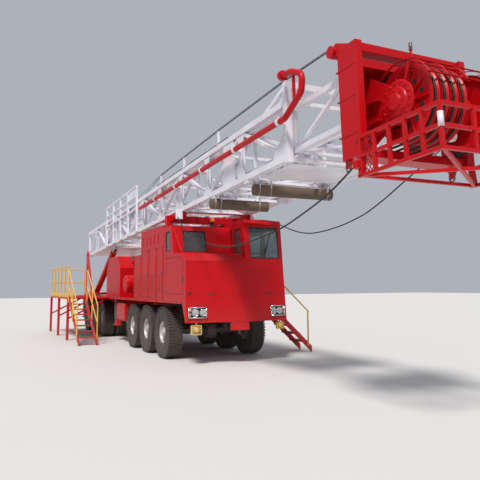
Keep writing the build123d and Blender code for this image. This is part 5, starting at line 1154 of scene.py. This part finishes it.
# %% Straps round the timbers
straps = new_pile()
LOG_R = 0.11
LOG_V = -0.1703
STRAP_R = LOG_R + 0.003
for u, ys in ((14.29, (-0.93, -0.80, 0.12)), (15.90, (-0.70, -0.46, 0.82))):
    for y in ys:
        ring = [on_mast(u + STRAP_R * math.cos(TAU * k / 24), y, LOG_V + STRAP_R * math.sin(TAU * k / 24))
                for k in range(24)]
        add_tube(straps, ring, 0.006, sides=6, closed=True)
        for side in (-1, 1):
            add_bar(straps, on_mast(u + side * 0.108, y, LOG_V + 0.03), on_mast(u + side * 0.108, y, 0.0),
                    0.006, 0.03, up=Vector((0, 1, 0)))
finish_piece(straps, "timber_straps", light_steel, "mast")
print("straps: 6")

# %% [markdown]
# The crown's sheaves carry the hoisting rope. While the mast lies down the rope goes round the front of
# each sheave and back through the crown's face, so each one is an arc with two straight tails. The outer
# sheaves show ribs and round holes, the holes as black discs of painted shade, and the cheek plate
# carries the shaft's big bolted boss.

# %% Ropes, ribs and boss on the crown
SHEAVE_U = 19.83
SHEAVE_V = 0.20
SHEAVE_R = 0.52
ROPE_R = 0.017
FACE_U = 19.111
SHEAVE_YS = (-0.50, -0.35, -0.20, -0.05, 0.54, 0.68)
GROOVE_DEEP = 0.045
# The cosine of the groove walls' slope: a rope that touches both walls lies this much further out.
GROOVE_WALL = 0.774
ROPE_CLEAR = 0.001
crown_ropes = new_pile()
arc_r = SHEAVE_R - GROOVE_DEEP + ROPE_R / GROOVE_WALL + ROPE_CLEAR
for y in SHEAVE_YS:
    path = [on_mast(FACE_U, y, SHEAVE_V + arc_r)]
    for k in range(37):
        a = math.radians(90 - 5 * k)
        path.append(on_mast(SHEAVE_U + arc_r * math.cos(a), y, SHEAVE_V + arc_r * math.sin(a)))
    path.append(on_mast(FACE_U, y, SHEAVE_V - arc_r))
    add_tube(crown_ropes, path, ROPE_R, sides=8)
finish_piece(crown_ropes, "crown_ropes", wire_line, "mast_top", smooth=True)


def on_sheave(r, a, y):
    """A point at a radius and an angle round the sheaves' shaft."""
    return on_mast(SHEAVE_U + r * math.cos(a), y, SHEAVE_V + r * math.sin(a))


mast_turn = Matrix.Rotation(-MAST_SLOPE, 4, "Y")


def facing_right(u, y, v):
    """Turns a form made in the XY plane to face the truck's right at a point of the mast."""
    return Matrix.Translation(on_mast(u, y, v)) @ mast_turn @ Matrix.Rotation(math.radians(90), 4, "X")


# The outer sheaves' faces lie WEB_OUT from their middle, and each hole is painted shade: a thin black disc on
# them.
WEB_OUT = 0.018
HOLE_RING_R = 0.30
HOLE_R = 0.042
HOLE_OUT = 0.0186
HOLE_HALF = 0.0005
RIB_COUNT = 10
RIB_INNER_R = 0.145
RIB_OUTER_R = 0.445
RIB_OUT = 0.030
RIB_SINK = 0.0005
RING_SIDES = 48
ribs, hole_shade_discs = new_pile(), new_pile()
for y, out in ((SHEAVE_YS[0], -1), (SHEAVE_YS[-1], 1)):
    for k in range(RIB_COUNT):
        a = TAU * k / RIB_COUNT
        rib_y = y + out * RIB_OUT
        add_bar(ribs, on_sheave(RIB_INNER_R, a, rib_y), on_sheave(RIB_OUTER_R, a, rib_y), 0.016, 0.022,
                up=Vector((0, 1, 0)))
        b = a + TAU / RIB_COUNT / 2
        spot = facing_right(SHEAVE_U + HOLE_RING_R * math.cos(b), y + out * HOLE_OUT,
                            SHEAVE_V + HOLE_RING_R * math.sin(b))
        disc = [(0.0, -HOLE_HALF), (HOLE_R, -HOLE_HALF), (HOLE_R, HOLE_HALF), (0.0, HOLE_HALF)]
        turned_form(hole_shade_discs, disc, 16, spot)
    foot = WEB_OUT - RIB_SINK
    for r0, r1, c in ((0.148, 0.172, 0.040), (0.42, 0.452, 0.036)):
        rings = [[ribs.verts.new(on_sheave(r, TAU * k / RING_SIDES, y + out * d)) for k in range(RING_SIDES)]
                 for r, d in ((r0, foot), (r0, c), (r1, c), (r1, foot))]
        for first, second in zip(rings, rings[1:] + rings[:1]):
            for k in range(RING_SIDES):
                m = (k + 1) % RING_SIDES
                ribs.faces.new((first[k], first[m], second[m], second[k]))
finish_piece(ribs, "sheave_ribs", red_paint, "sheaves", bevel=0.0015)
# Black discs of painted shade stand in for the sheaves' round holes.
finish_piece(hole_shade_discs, "sheave_hole_shade_discs", black_rubber, "sheaves")

CHEEK_FACE_Y = -0.655
BOSS_PROFILE = [(0.0, -0.002), (0.30, -0.002), (0.30, 0.018), (0.285, 0.026), (0.205, 0.030), (0.19, 0.052),
                (0.12, 0.058), (0.105, 0.085), (0.0, 0.088)]
BOSS_BOLTS_OUT = 0.034
CAP_BOLTS_OUT = 0.060
WEB_STRIP_Y = -0.70
boss = new_pile()
turned_form(boss, BOSS_PROFILE, 40, facing_right(SHEAVE_U, CHEEK_FACE_Y, SHEAVE_V))
boss_bolts = grow(ring_tree, red_paint, Radius=0.25, Count=16, Rows=1, Row_Pitch=0.01, Stagger=0.0,
                  Long=0.026, Deep=0.026, Wide=0.018, Slant=0.0)
add_mesh(boss, boss_bolts, facing_right(SHEAVE_U, CHEEK_FACE_Y - BOSS_BOLTS_OUT, SHEAVE_V))
cap_bolts = grow(ring_tree, red_paint, Radius=0.155, Count=8, Rows=1, Row_Pitch=0.01, Stagger=0.0, Long=0.022,
                 Deep=0.022, Wide=0.016, Slant=0.0)
add_mesh(boss, cap_bolts, facing_right(SHEAVE_U, CHEEK_FACE_Y - CAP_BOLTS_OUT, SHEAVE_V))
for u0, v0, u1, v1 in ((19.16, 0.36, 19.52, 0.34), (19.16, 0.04, 19.52, 0.06), (19.16, -0.20, 19.66, -0.07)):
    add_bar(boss, on_mast(u0, WEB_STRIP_Y, v0), on_mast(u1, WEB_STRIP_Y, v1), 0.088, 0.014)
finish_piece(boss, "shaft_boss", red_paint, "mast_top", bevel=0.002)
print("crown ropes, ribs and boss made")

# %% [markdown]
# A light guard of flat bar keeps the rope in its grooves, with a pin on top that a lifting sling hooks
# on. The crown's columns carry a shackle below, a banded post beside the cage, and a round work lamp.

# %% Sheave guard, shackle, banded post and lamp
GUARD_R = 0.565
GUARD_YS = (-0.60, -0.275, 0.05, 0.47, 0.75)
GUARD_START = 128
GUARD_END = 20
GUARD_BAR_WIDE = 0.030
GUARD_BAR_THICK = 0.008
CROSS_BAR_ANGLES = (100, 62, 24)
CROSS_BAR_ENDS = (-0.62, 0.77)
guard = new_pile()


def guard_arc(y, start, end, wide, thick):
    """A curved flat bar round the sheaves, from one angle to another."""
    count = 18
    section = ((GUARD_R, y - wide / 2), (GUARD_R, y + wide / 2), (GUARD_R + thick, y + wide / 2),
               (GUARD_R + thick, y - wide / 2))
    rings = [[guard.verts.new(on_sheave(r, math.radians(start + (end - start) * k / count), w))
              for r, w in section]
             for k in range(count + 1)]
    for first, second in zip(rings, rings[1:]):
        for n in range(4):
            m = (n + 1) % 4
            guard.faces.new((first[n], first[m], second[m], second[n]))
    guard.faces.new(rings[0])
    guard.faces.new(rings[-1])


for y in GUARD_YS:
    guard_arc(y, GUARD_START, GUARD_END, GUARD_BAR_WIDE, GUARD_BAR_THICK)
for a in CROSS_BAR_ANGLES:
    ends = [on_sheave(GUARD_R + 0.012, math.radians(a), y) for y in CROSS_BAR_ENDS]
    add_bar(guard, *ends, GUARD_BAR_WIDE, GUARD_BAR_THICK)
STAY_ANGLE = math.radians(70)
for y in (GUARD_YS[0], GUARD_YS[-1]):
    add_bar(guard, on_sheave(HOLE_RING_R, STAY_ANGLE, y), on_sheave(GUARD_R + 0.01, STAY_ANGLE, y), 0.04,
            0.010, up=Vector((0, 1, 0)))
PIN_ANGLE = math.radians(66)
pin_foot = on_sheave(GUARD_R + 0.01, PIN_ANGLE, GUARD_YS[0])
add_tube(guard, [pin_foot + Vector((0, 0, rise)) for rise in (0.0, 0.06, 0.15)], 0.016, sides=10)
finish_piece(guard, "sheave_guard", red_paint, "mast_top")

COLUMN_Y = 0.945
COLUMN_HALF = 0.062
SHACKLE_U = 19.10
SHACKLE_V = -0.50
crown_dark = new_pile()
add_tube(crown_dark, [pin_foot + Vector((0, 0, 0.10)), pin_foot + Vector((0, 0, 0.20))], 0.024, sides=12)
for y in (-COLUMN_Y, COLUMN_Y):
    hook = [on_mast(SHACKLE_U + 0.05 * math.sin(q), y, SHACKLE_V + 0.075 * math.cos(q))
            for q in (k * TAU / 20 for k in range(20))]
    add_tube(crown_dark, hook, 0.014, sides=8, closed=True)
finish_piece(crown_dark, "crown_shackles", worn_steel, "mast_top", smooth=True)

LUG_TOP_V = -0.4198
LUG_LOW_V = -0.53
BAND_VS = (-0.10, 0.42, 0.86)
shackle_lugs = new_pile()
for y in (-COLUMN_Y, COLUMN_Y):
    lug = [(19.04, LUG_TOP_V), (19.20, LUG_TOP_V), (19.14, LUG_LOW_V), (19.08, LUG_LOW_V)]
    add_plate(shackle_lugs, lug, y - 0.012, y + 0.012)
for v in BAND_VS:
    for y in (-COLUMN_Y, COLUMN_Y):
        add_box(shackle_lugs, 19.00, 19.42, y - COLUMN_HALF, y + COLUMN_HALF, v, v + 0.02, place=on_mast)
finish_piece(shackle_lugs, "column_bands", red_paint, "mast_top", bevel=0.002)

BAND_U = 20.858
CAGE_SIDE_Y = -1.0
LAMP_Y = 0.29
LAMP_PROFILE = [(0.0, -0.02), (0.085, -0.02), (0.085, 0.03), (0.07, 0.045), (0.0, 0.05)]
white_bands = new_pile()
add_tube(white_bands, [on_mast(BAND_U, CAGE_SIDE_Y, -0.47), on_mast(BAND_U, CAGE_SIDE_Y, -0.30)], 0.034,
         sides=16)
turned_form(white_bands, LAMP_PROFILE, 28,
            Matrix.Translation(on_mast(19.76, LAMP_Y, -0.12)) @ Matrix.Rotation(math.radians(90), 4, "Y"))
add_bar(white_bands, on_mast(19.40, LAMP_Y, -0.31), on_mast(19.74, LAMP_Y, -0.13), 0.03, 0.012)
finish_piece(white_bands, "crown_white_lamp", white_paint, "mast_top", smooth=True)
print("crown fittings made")

# %% [markdown]
# Walkways are floored with open grating, so a foot never slips on oil. A grating is two rows of bars
# crossed, which the blade tree already lays out. The rear platform is floored with it, and the crown's cage
# has one side panel of expanded mesh.

# %% Mesh on the cage and grating on the platform
MESH_U = 19.48
MESH_V = -0.70
MESH_WIDE = 0.26
MESH_LOW = 0.02
MESH_HIGH = 0.49
STRAND_PITCH = 0.072
cage_mesh = new_pile()
for lean in (-1, 1):
    for k in range(-7, 8):
        # Each strand leans by 45 degrees, and is cut off where it leaves the panel's low or high edge.
        foot = STRAND_PITCH * k
        cuts = sorted(lean * (edge - foot) / MESH_WIDE for edge in (MESH_LOW, MESH_HIGH))
        t0, t1 = max(0.0, cuts[0]), min(1.0, cuts[1])
        if t1 - t0 > 0.05:
            ends = [on_mast(MESH_U + MESH_WIDE * t, CAGE_SIDE_Y, MESH_V + foot + lean * MESH_WIDE * t)
                    for t in (t0, t1)]
            add_bar(cage_mesh, *ends, 0.005, 0.012)
finish_piece(cage_mesh, "cage_side_mesh", red_paint, "mast_top")

FLAT = Matrix.Rotation(math.radians(90), 4, "X")
RUN_BARS_Z = 1.4035
TIE_BARS_Z = 1.403
platform = new_pile()
run_bars = grow(grid_tree, red_paint, Columns=1, Rows=34, Column_Pitch=1.0, Row_Pitch=0.04, Long=4.44,
                Deep=0.006, Thick=0.005, Tilt=0.0)
tie_bars = grow(grid_tree, red_paint, Columns=44, Rows=1, Column_Pitch=0.10, Row_Pitch=1.0, Long=0.006,
                Deep=0.005, Thick=1.33, Tilt=0.0)
add_mesh(platform, run_bars, Matrix.Translation(at(-8.25, -1.30, RUN_BARS_Z)) @ FLAT)
add_mesh(platform, tie_bars, Matrix.Translation(at(-10.40, -1.96, TIE_BARS_Z)) @ FLAT)
finish_piece(platform, "platform_grating", red_paint, "root")
print("gratings made")

# %% [markdown]
# Stair treads are folded plate with a ribbed nosing. The frame's treads are plain slabs, so each gets its
# ribs, laid along the tread at the slabs' own places.

# %% Ribs on the treads
RIBS_A_TREAD = 5
TREAD_RIB_PITCH = 0.0475
TREAD_RIB_HALF = 0.005
# Heights above a tread's middle: a hair over its top, and the top of its ribs.
TREAD_RIB_LOW = 0.0151
TREAD_RIB_HIGH = 0.019
STAIR_TREADS = 7
STAIR_RIB_REACH = 0.245
STAIR_TOP = Vector((-6.0, -2.6077, 1.27))
STAIR_FOOT = Vector((-3.9, -2.6077, 0.0))
LADDER_TREADS = 5
LADDER_RIB_REACH = 0.275
LADDER_TOP = Vector((0.0, 1.274, 1.28))
LADDER_FOOT = Vector((0.0, 2.65, 0.0))
tread_ribs = new_pile()
shifts = [TREAD_RIB_PITCH * (k - (RIBS_A_TREAD - 1) / 2) for k in range(RIBS_A_TREAD)]
for n in range(1, STAIR_TREADS + 1):
    centre = STAIR_TOP.lerp(STAIR_FOOT, n / (STAIR_TREADS + 1)) + Vector((0, 0.28, 0.07))
    low, high = centre.z + TREAD_RIB_LOW, centre.z + TREAD_RIB_HIGH
    for x in (centre.x + shift for shift in shifts):
        add_box(tread_ribs, x - TREAD_RIB_HALF, x + TREAD_RIB_HALF,
                centre.y - STAIR_RIB_REACH, centre.y + STAIR_RIB_REACH, low, high)
for n in range(1, LADDER_TREADS + 1):
    centre = LADDER_TOP.lerp(LADDER_FOOT, n / (LADDER_TREADS + 1)) + Vector((0.31, 0, 0.07))
    low, high = centre.z + TREAD_RIB_LOW, centre.z + TREAD_RIB_HIGH
    for y in (centre.y + shift for shift in shifts):
        add_box(tread_ribs, centre.x - LADDER_RIB_REACH, centre.x + LADDER_RIB_REACH,
                y - TREAD_RIB_HALF, y + TREAD_RIB_HALF, low, high)
finish_piece(tread_ribs, "tread_ribs", worn_steel, "root")
print("treads ribbed:", STAIR_TREADS + LADDER_TREADS)

# %% [markdown]
# Each wheel is held by ten nuts round its hub, and the hub's own cap by smaller bolts. Both are rings of
# blocks from the ring tree. They turn with the wheel, so every wheel has its own piece.

# %% Wheel nuts
# Four sizes of a wheel: how far out its nuts' disc lies, the radius of the nuts' ring, how far out the hub's
# cap lies, and the radius of the cap's bolts.
FRONT_FITTINGS = (1.154, 0.136, 1.230, 0.094)
REAR_FITTINGS = (1.064, 0.142, 1.1275, 0.080)


def wheel_fittings(name, body, x, out, disc_y, nut_r, cap_y, cap_r):
    """The nuts and cap bolts of one wheel, facing away from the truck."""
    pile = new_pile()
    nuts = grow(ring_tree, worn_steel, Radius=nut_r, Count=10, Rows=1, Row_Pitch=0.01, Stagger=0.0,
                Long=0.021, Deep=0.019, Wide=0.024, Slant=0.0)
    bolts = grow(ring_tree, worn_steel, Radius=cap_r, Count=8, Rows=1, Row_Pitch=0.01, Stagger=0.0,
                 Long=0.012, Deep=0.012, Wide=0.008, Slant=0.0)
    add_mesh(pile, nuts, Matrix.Translation(at(x, out * (disc_y + 0.012), TYRE_R)) @ FLAT)
    add_mesh(pile, bolts, Matrix.Translation(at(x, out * (cap_y + 0.004), TYRE_R)) @ FLAT)
    finish_piece(pile, name, worn_steel, body)


for side, out in SIDES:
    for number, x in enumerate(FRONT_AXLES, 1):
        wheel_fittings(f"nuts_front_{number}_{side}", f"front_wheel_{number}_{side}", x, out, *FRONT_FITTINGS)
    for number, x in enumerate(REAR_AXLES, 1):
        wheel_fittings(f"nuts_rear_{number}_{side}", f"rear_wheels_{number}_{side}", x, out, *REAR_FITTINGS)
print("wheels fitted:", 2 * len(FRONT_AXLES) + 2 * len(REAR_AXLES))

# %% [markdown]
# The winch drum carries its wire rope in a neat layer of turns. A rope on a drum is a helix, so its path
# is a few hundred points of one formula, and it turns with the drum.

# %% Rope on the drum
DRUM_X = -5.95
DRUM_Z = 2.12
DRUM_R = 0.33
DRUM_ROPE_R = 0.014
TURNS = 36
drum_rope = new_pile()
winding_r = DRUM_R + DRUM_ROPE_R + 0.001
winding = []
for k in range(TURNS * 20 + 1):
    a = TAU * k / 20
    y = -0.545 + 1.09 * k / (TURNS * 20)
    winding.append(at(DRUM_X + winding_r * math.cos(a), y, DRUM_Z + winding_r * math.sin(a)))
add_tube(drum_rope, winding, DRUM_ROPE_R, sides=6)
finish_piece(drum_rope, "drum_rope", wire_line, "drum", smooth=True)

drum_bolts = new_pile()
flange_bolts = grow(ring_tree, worn_steel, Radius=0.52, Count=18, Rows=1, Row_Pitch=0.01, Stagger=0.0,
                    Long=0.028, Deep=0.028, Wide=0.016, Slant=0.0)
for y in (-0.618, 0.618):
    add_mesh(drum_bolts, flange_bolts, Matrix.Translation(at(DRUM_X, y, DRUM_Z)) @ FLAT)
finish_piece(drum_bolts, "drum_flange_bolts", worn_steel, "drum")
print("rope turns on the drum:", TURNS)

# %% [markdown]
# Sheet metal is held by rivets and bolts in straight rows, and each row is one line of small blocks from
# the blade tree. The locker beside the house gets hinges and a latch, and the deck's edge a thin strip with
# tie-down eyes.

# %% Rivets, locker fittings and the deck's edge
rivets = new_pile()


def rivet_row(matrix, count, pitch, size=0.012):
    """A row of rivet heads along X of a placed plane."""
    row = grow(grid_tree, red_paint, Columns=count, Rows=1, Column_Pitch=pitch, Row_Pitch=1.0, Long=size,
               Deep=size, Thick=0.006, Tilt=0.0)
    add_mesh(rivets, row, matrix)


for face, wide in ((right_face, right_wide), (left_face, left_wide)):
    for up in (0.045, SEAM_UP + 0.03, 1.33):
        rivet_row(face.matrix(0.05, up, 0.002), int((wide - 0.1) / 0.088) + 1, 0.088)
rivet_row(Face((0.30, -1.2701, 1.47), (1, 0, 0), (0, 0, 1)).matrix(0, 0, 0.001), 15, 0.09)
for x in (0.62, 0.30):
    for k in range(6):
        add_box(rivets, x - 0.006, x + 0.006, -1.2725, -1.2700, 2.53 + 0.1 * k, 2.542 + 0.1 * k)
finish_piece(rivets, "sheet_rivets", red_paint, "root")

fittings = new_pile()
for z in (1.68, 2.10):
    add_tube(fittings, [at(0.296, -1.279, z - 0.055), at(0.296, -1.279, z + 0.055)], 0.009)
    add_box(fittings, 0.296, 0.36, -1.2755, -1.2704, z - 0.035, z + 0.035)
add_box(fittings, 1.455, 1.515, -1.284, -1.2704, 1.86, 1.92)
add_box(fittings, 1.470, 1.500, -1.296, -1.284, 1.835, 1.945)
finish_piece(fittings, "locker_fittings", worn_steel, "root", bevel=0.002)

STRIP_IN_Y = 1.2702
STRIP_OUT_Y = 1.276
EYE_Y = 1.279
EYE_Z = 1.362
EYE_COUNT = 13
EYE_PITCH = 0.95
EYE_POINTS = 14
deck_edge = new_pile()
for out in (-1, 1):
    add_box(deck_edge, -12.08, 1.42, out * STRIP_IN_Y, out * STRIP_OUT_Y, 1.384, 1.3995)
    for x in (-11.9 + EYE_PITCH * k for k in range(EYE_COUNT)):
        turns = [TAU * n / EYE_POINTS for n in range(EYE_POINTS)]
        eye = [at(x + 0.030 * math.cos(a), out * EYE_Y, EYE_Z + 0.024 * math.sin(a)) for a in turns]
        add_tube(deck_edge, eye, 0.006, sides=6, closed=True)
finish_piece(deck_edge, "deck_edge_strip", red_paint, "root")
print("rivet rows, locker fittings and deck edge made")

# %% [markdown]
# Below the deck hang the parts that any such chassis shows from the side: air bottles on the rails with
# their bands, brake lines along the rail, and rubber flaps behind the rear wheels.

# %% Air bottles, brake lines and flaps
BOTTLE_XS = (-5.68, -4.62)
BOTTLE_Y = 0.30
BOTTLE_Z = 0.86
# Half of a bottle's outline, as radius and place along it; the other half mirrors it.
BOTTLE_END = [(0.0, 0.30), (0.055, 0.292), (0.093, 0.262), (0.105, 0.225)]
BOTTLE_BAND_R = 0.108
LENGTHWISE = Matrix.Rotation(math.radians(90), 4, "Y")
bottles, bands = new_pile(), new_pile()
for x in BOTTLE_XS:
    for y in (-BOTTLE_Y, BOTTLE_Y):
        profile = [(r, -c) for r, c in BOTTLE_END] + BOTTLE_END[::-1]
        turned_form(bottles, profile, 24, Matrix.Translation(at(x, y, BOTTLE_Z)) @ LENGTHWISE)
        for shift in (-0.16, 0.16):
            turns = [TAU * k / 24 for k in range(24)]
            ring = [at(x + shift, y + BOTTLE_BAND_R * math.cos(a), BOTTLE_Z + BOTTLE_BAND_R * math.sin(a))
                    for a in turns]
            add_tube(bands, ring, 0.006, sides=6, closed=True)
            add_bar(bands, at(x + shift, y, 0.965), at(x + shift, y, 1.06), 0.03, 0.008, up=Vector((0, 1, 0)))
finish_piece(bottles, "air_bottles", black_paint, "root", smooth=True)
finish_piece(bands, "bottle_bands", worn_steel, "root")

RAIL_SIDE_Y = 0.459
LINES_Z = 1.10
LINES_FRONT_X = 0.9
brake_lines = new_pile()
for out in (-1, 1):
    for lift, start in ((0.0, -9.6), (0.022, -8.2), (0.044, -6.8)):
        run = LINES_FRONT_X - start
        path = [at(start + run * k / 30, out * (RAIL_SIDE_Y + 0.002 * math.sin(k)), LINES_Z + lift)
                for k in range(31)]
        add_tube(brake_lines, path, 0.006, sides=6)
for y in (-0.06, 0.0, 0.06):
    hose = []
    for k in range(17):
        t = k / 16
        hose.append(at(-0.60 - 0.55 * t, 0.30 + y, 0.95 - 0.10 * math.sin(math.pi * t)))
    add_tube(brake_lines, hose, 0.010, sides=8)
finish_piece(brake_lines, "brake_lines", black_rubber, "root", smooth=True)

flaps = new_pile()
for out in (-1, 1):
    add_box(flaps, -10.735, -10.723, out * 0.62, out * 1.25, 0.42, 1.335)
finish_piece(flaps, "mud_flaps", black_rubber, "root", bevel=0.003)
print("air bottles: 4, flaps: 2")

# %% [markdown]
# The driver's seat is the one padded thing on the truck. The frame holds it as two plain blocks inside
# the cab, so the cab's hard parts are copied without them, and the pads are blown up from slightly
# smaller boxes by a short cloth simulation. A cap on how far a point may move keeps them in their place.

# %% Cab inside and its padded seat
SOFT_BOXES = (((-0.112, 0.588, 2.038), (0.462, 1.072, 2.172)),
              ((-0.232, 0.598, 2.078), (-0.108, 1.062, 2.782)))


def loose_parts(pile):
    """The separate shells of a mesh, as lists of points."""
    left = set(pile.verts)
    found = []
    while left:
        seed = left.pop()
        shell, edge = [seed], [seed]
        while edge:
            for link in edge.pop().link_edges:
                for vert in link.verts:
                    if vert in left:
                        left.remove(vert)
                        shell.append(vert)
                        edge.append(vert)
        found.append(shell)
    return found


inside = new_pile()
inside.from_mesh(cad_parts["cab_interior"].data)
bmesh.ops.remove_doubles(inside, verts=inside.verts, dist=0.00005)
dropped = 0
for shell in loose_parts(inside):
    for low_corner, high_corner in SOFT_BOXES:
        floor_at, top_at = at(*low_corner), at(*high_corner)
        if all(floor_at[k] <= vert.co[k] <= top_at[k] for vert in shell for k in range(3)):
            bmesh.ops.delete(inside, geom=shell, context="VERTS")
            dropped += 1
            break
hard_inside = finish_piece(inside, "cab_hard_parts", grey_trim, "root")
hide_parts("cab_interior")
print("soft blocks left out of the cab's hard parts:", dropped)

seat_cloth, tree, shader = new_material("seat_cloth")
place = tree.nodes.new("ShaderNodeTexCoord").outputs["Object"]
weave = tree.nodes.new("ShaderNodeTexWave")
weave.inputs["Scale"].default_value = 60.0
tree.links.new(place, weave.inputs["Vector"])
colour = mix_node(tree, weave.outputs["Fac"], rgb(0.020, 0.021, 0.024), rgb(0.050, 0.052, 0.058))
tree.links.new(colour, shader.inputs["Base Color"])
tree.links.new(math_node(tree, "ADD", math_node(tree, "MULTIPLY", weave.outputs["Fac"], 0.1), 0.8),
               shader.inputs["Roughness"])
bump_into(tree, shader, weave.outputs["Fac"], 0.3, 0.001)


def padded_piece(name, low_corner, high_corner, shrink, cap, voxel=0.006):
    """A pad blown up by the cloth solver from a box a little smaller than its place."""
    pile = new_pile()
    x0, y0, z0 = (c + shrink for c in low_corner)
    x1, y1, z1 = (c - shrink for c in high_corner)
    add_box(pile, x0, x1, y0, y1, z0, z1)
    bmesh.ops.recalc_face_normals(pile, faces=pile.faces)
    data = bpy.data.meshes.new(name)
    pile.to_mesh(data)
    pile.free()
    piece = bpy.data.objects.new(name, data)
    bpy.context.scene.collection.objects.link(piece)
    data.materials.append(seat_cloth)
    remesh = piece.modifiers.new("even", "REMESH")
    remesh.mode = "VOXEL"
    remesh.voxel_size = voxel
    bake_modifiers(piece)
    before = [v.co.copy() for v in piece.data.vertices]
    cloth = piece.modifiers.new("inflate", "CLOTH")
    cloth.settings.quality = 4
    cloth.settings.use_pressure = True
    cloth.settings.uniform_pressure_force = 4.0
    cloth.settings.effector_weights.gravity = 0.0
    cloth.point_cache.frame_start = 1
    cloth.point_cache.frame_end = 20
    for number in range(1, 21):
        bpy.context.scene.frame_set(number)
    bake_modifiers(piece)
    bpy.context.scene.frame_set(1)
    middle = (at(*low_corner) + at(*high_corner)) / 2
    room = (at(*high_corner) - at(*low_corner)) / 2
    for vert, start in zip(piece.data.vertices, before):
        move = vert.co - start
        if move.length > cap:
            move = move * (cap / move.length)
        spot = start + move
        for k in range(3):
            reach = room[k] + 0.012
            spot[k] = max(middle[k] - reach, min(middle[k] + reach, spot[k]))
        vert.co = spot
    finer = piece.modifiers.new("finer", "SUBSURF")
    finer.levels = 1
    finer.render_levels = 1
    bake_modifiers(piece)
    for face in piece.data.polygons:
        face.use_smooth = True
    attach(piece, "root")
    return piece


def bake_modifiers(piece):
    """Turns a piece's modifiers into its plain mesh."""
    graph = bpy.context.evaluated_depsgraph_get()
    made = bpy.data.meshes.new_from_object(piece.evaluated_get(graph))
    old = piece.data
    piece.modifiers.clear()
    piece.data = made
    bpy.data.meshes.remove(old)


seat = padded_piece("seat_cushion", (-0.11, 0.59, 2.04), (0.46, 1.07, 2.17), 0.014, 0.024)
back = padded_piece("seat_back", (-0.23, 0.60, 2.08), (-0.11, 1.06, 2.78), 0.014, 0.024)
print("pads have", len(seat.data.polygons), "and", len(back.data.polygons), "faces")

# %% [markdown]
# The truck stands on a plain pale floor in soft light, as a product picture would show it. A broad sun
# from ahead and to the right gives the nose its bright face and leaves its left face in shade, as in the
# photograph, and a pale sky fills the shadows.

# %% Floor and light
floor_data = bpy.data.meshes.new("floor")
FLOOR_HALF = 90.0
floor_data.from_pydata(
    [(-FLOOR_HALF, -FLOOR_HALF, 0), (FLOOR_HALF, -FLOOR_HALF, 0), (FLOOR_HALF, FLOOR_HALF, 0),
     (-FLOOR_HALF, FLOOR_HALF, 0)],
    [], [(0, 1, 2, 3)],
)
floor = bpy.data.objects.new("floor", floor_data)
bpy.context.scene.collection.objects.link(floor)
floor_finish, tree, shader = new_material("pale_floor")
shader.inputs["Base Color"].default_value = rgb(0.62, 0.61, 0.60)
shader.inputs["Roughness"].default_value = 0.75
floor_data.materials.append(floor_finish)
floor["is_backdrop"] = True

world = bpy.data.worlds.new("studio")
bpy.context.scene.world = world
world.use_nodes = True
world.node_tree.nodes["Background"].inputs["Color"].default_value = rgb(0.80, 0.85, 0.94)
world.node_tree.nodes["Background"].inputs["Strength"].default_value = 0.52

sun_data = bpy.data.lights.new("key", "SUN")
sun_data.energy = 3.5
sun_data.angle = math.radians(12)
sun_data.color = (1.0, 0.97, 0.92)
sun = bpy.data.objects.new("key", sun_data)
bpy.context.scene.collection.objects.link(sun)
SUN_FROM = Vector((0.52, -0.40, 0.92))
sun.rotation_euler = SUN_FROM.to_track_quat("Z", "Y").to_euler()
bpy.context.scene.view_settings.view_transform = "Standard"
print("sun height in degrees", round(math.degrees(math.asin(SUN_FROM.normalized().z)), 1))

low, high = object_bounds()
print("visual box", [round(c, 3) for c in (*low, *high)])
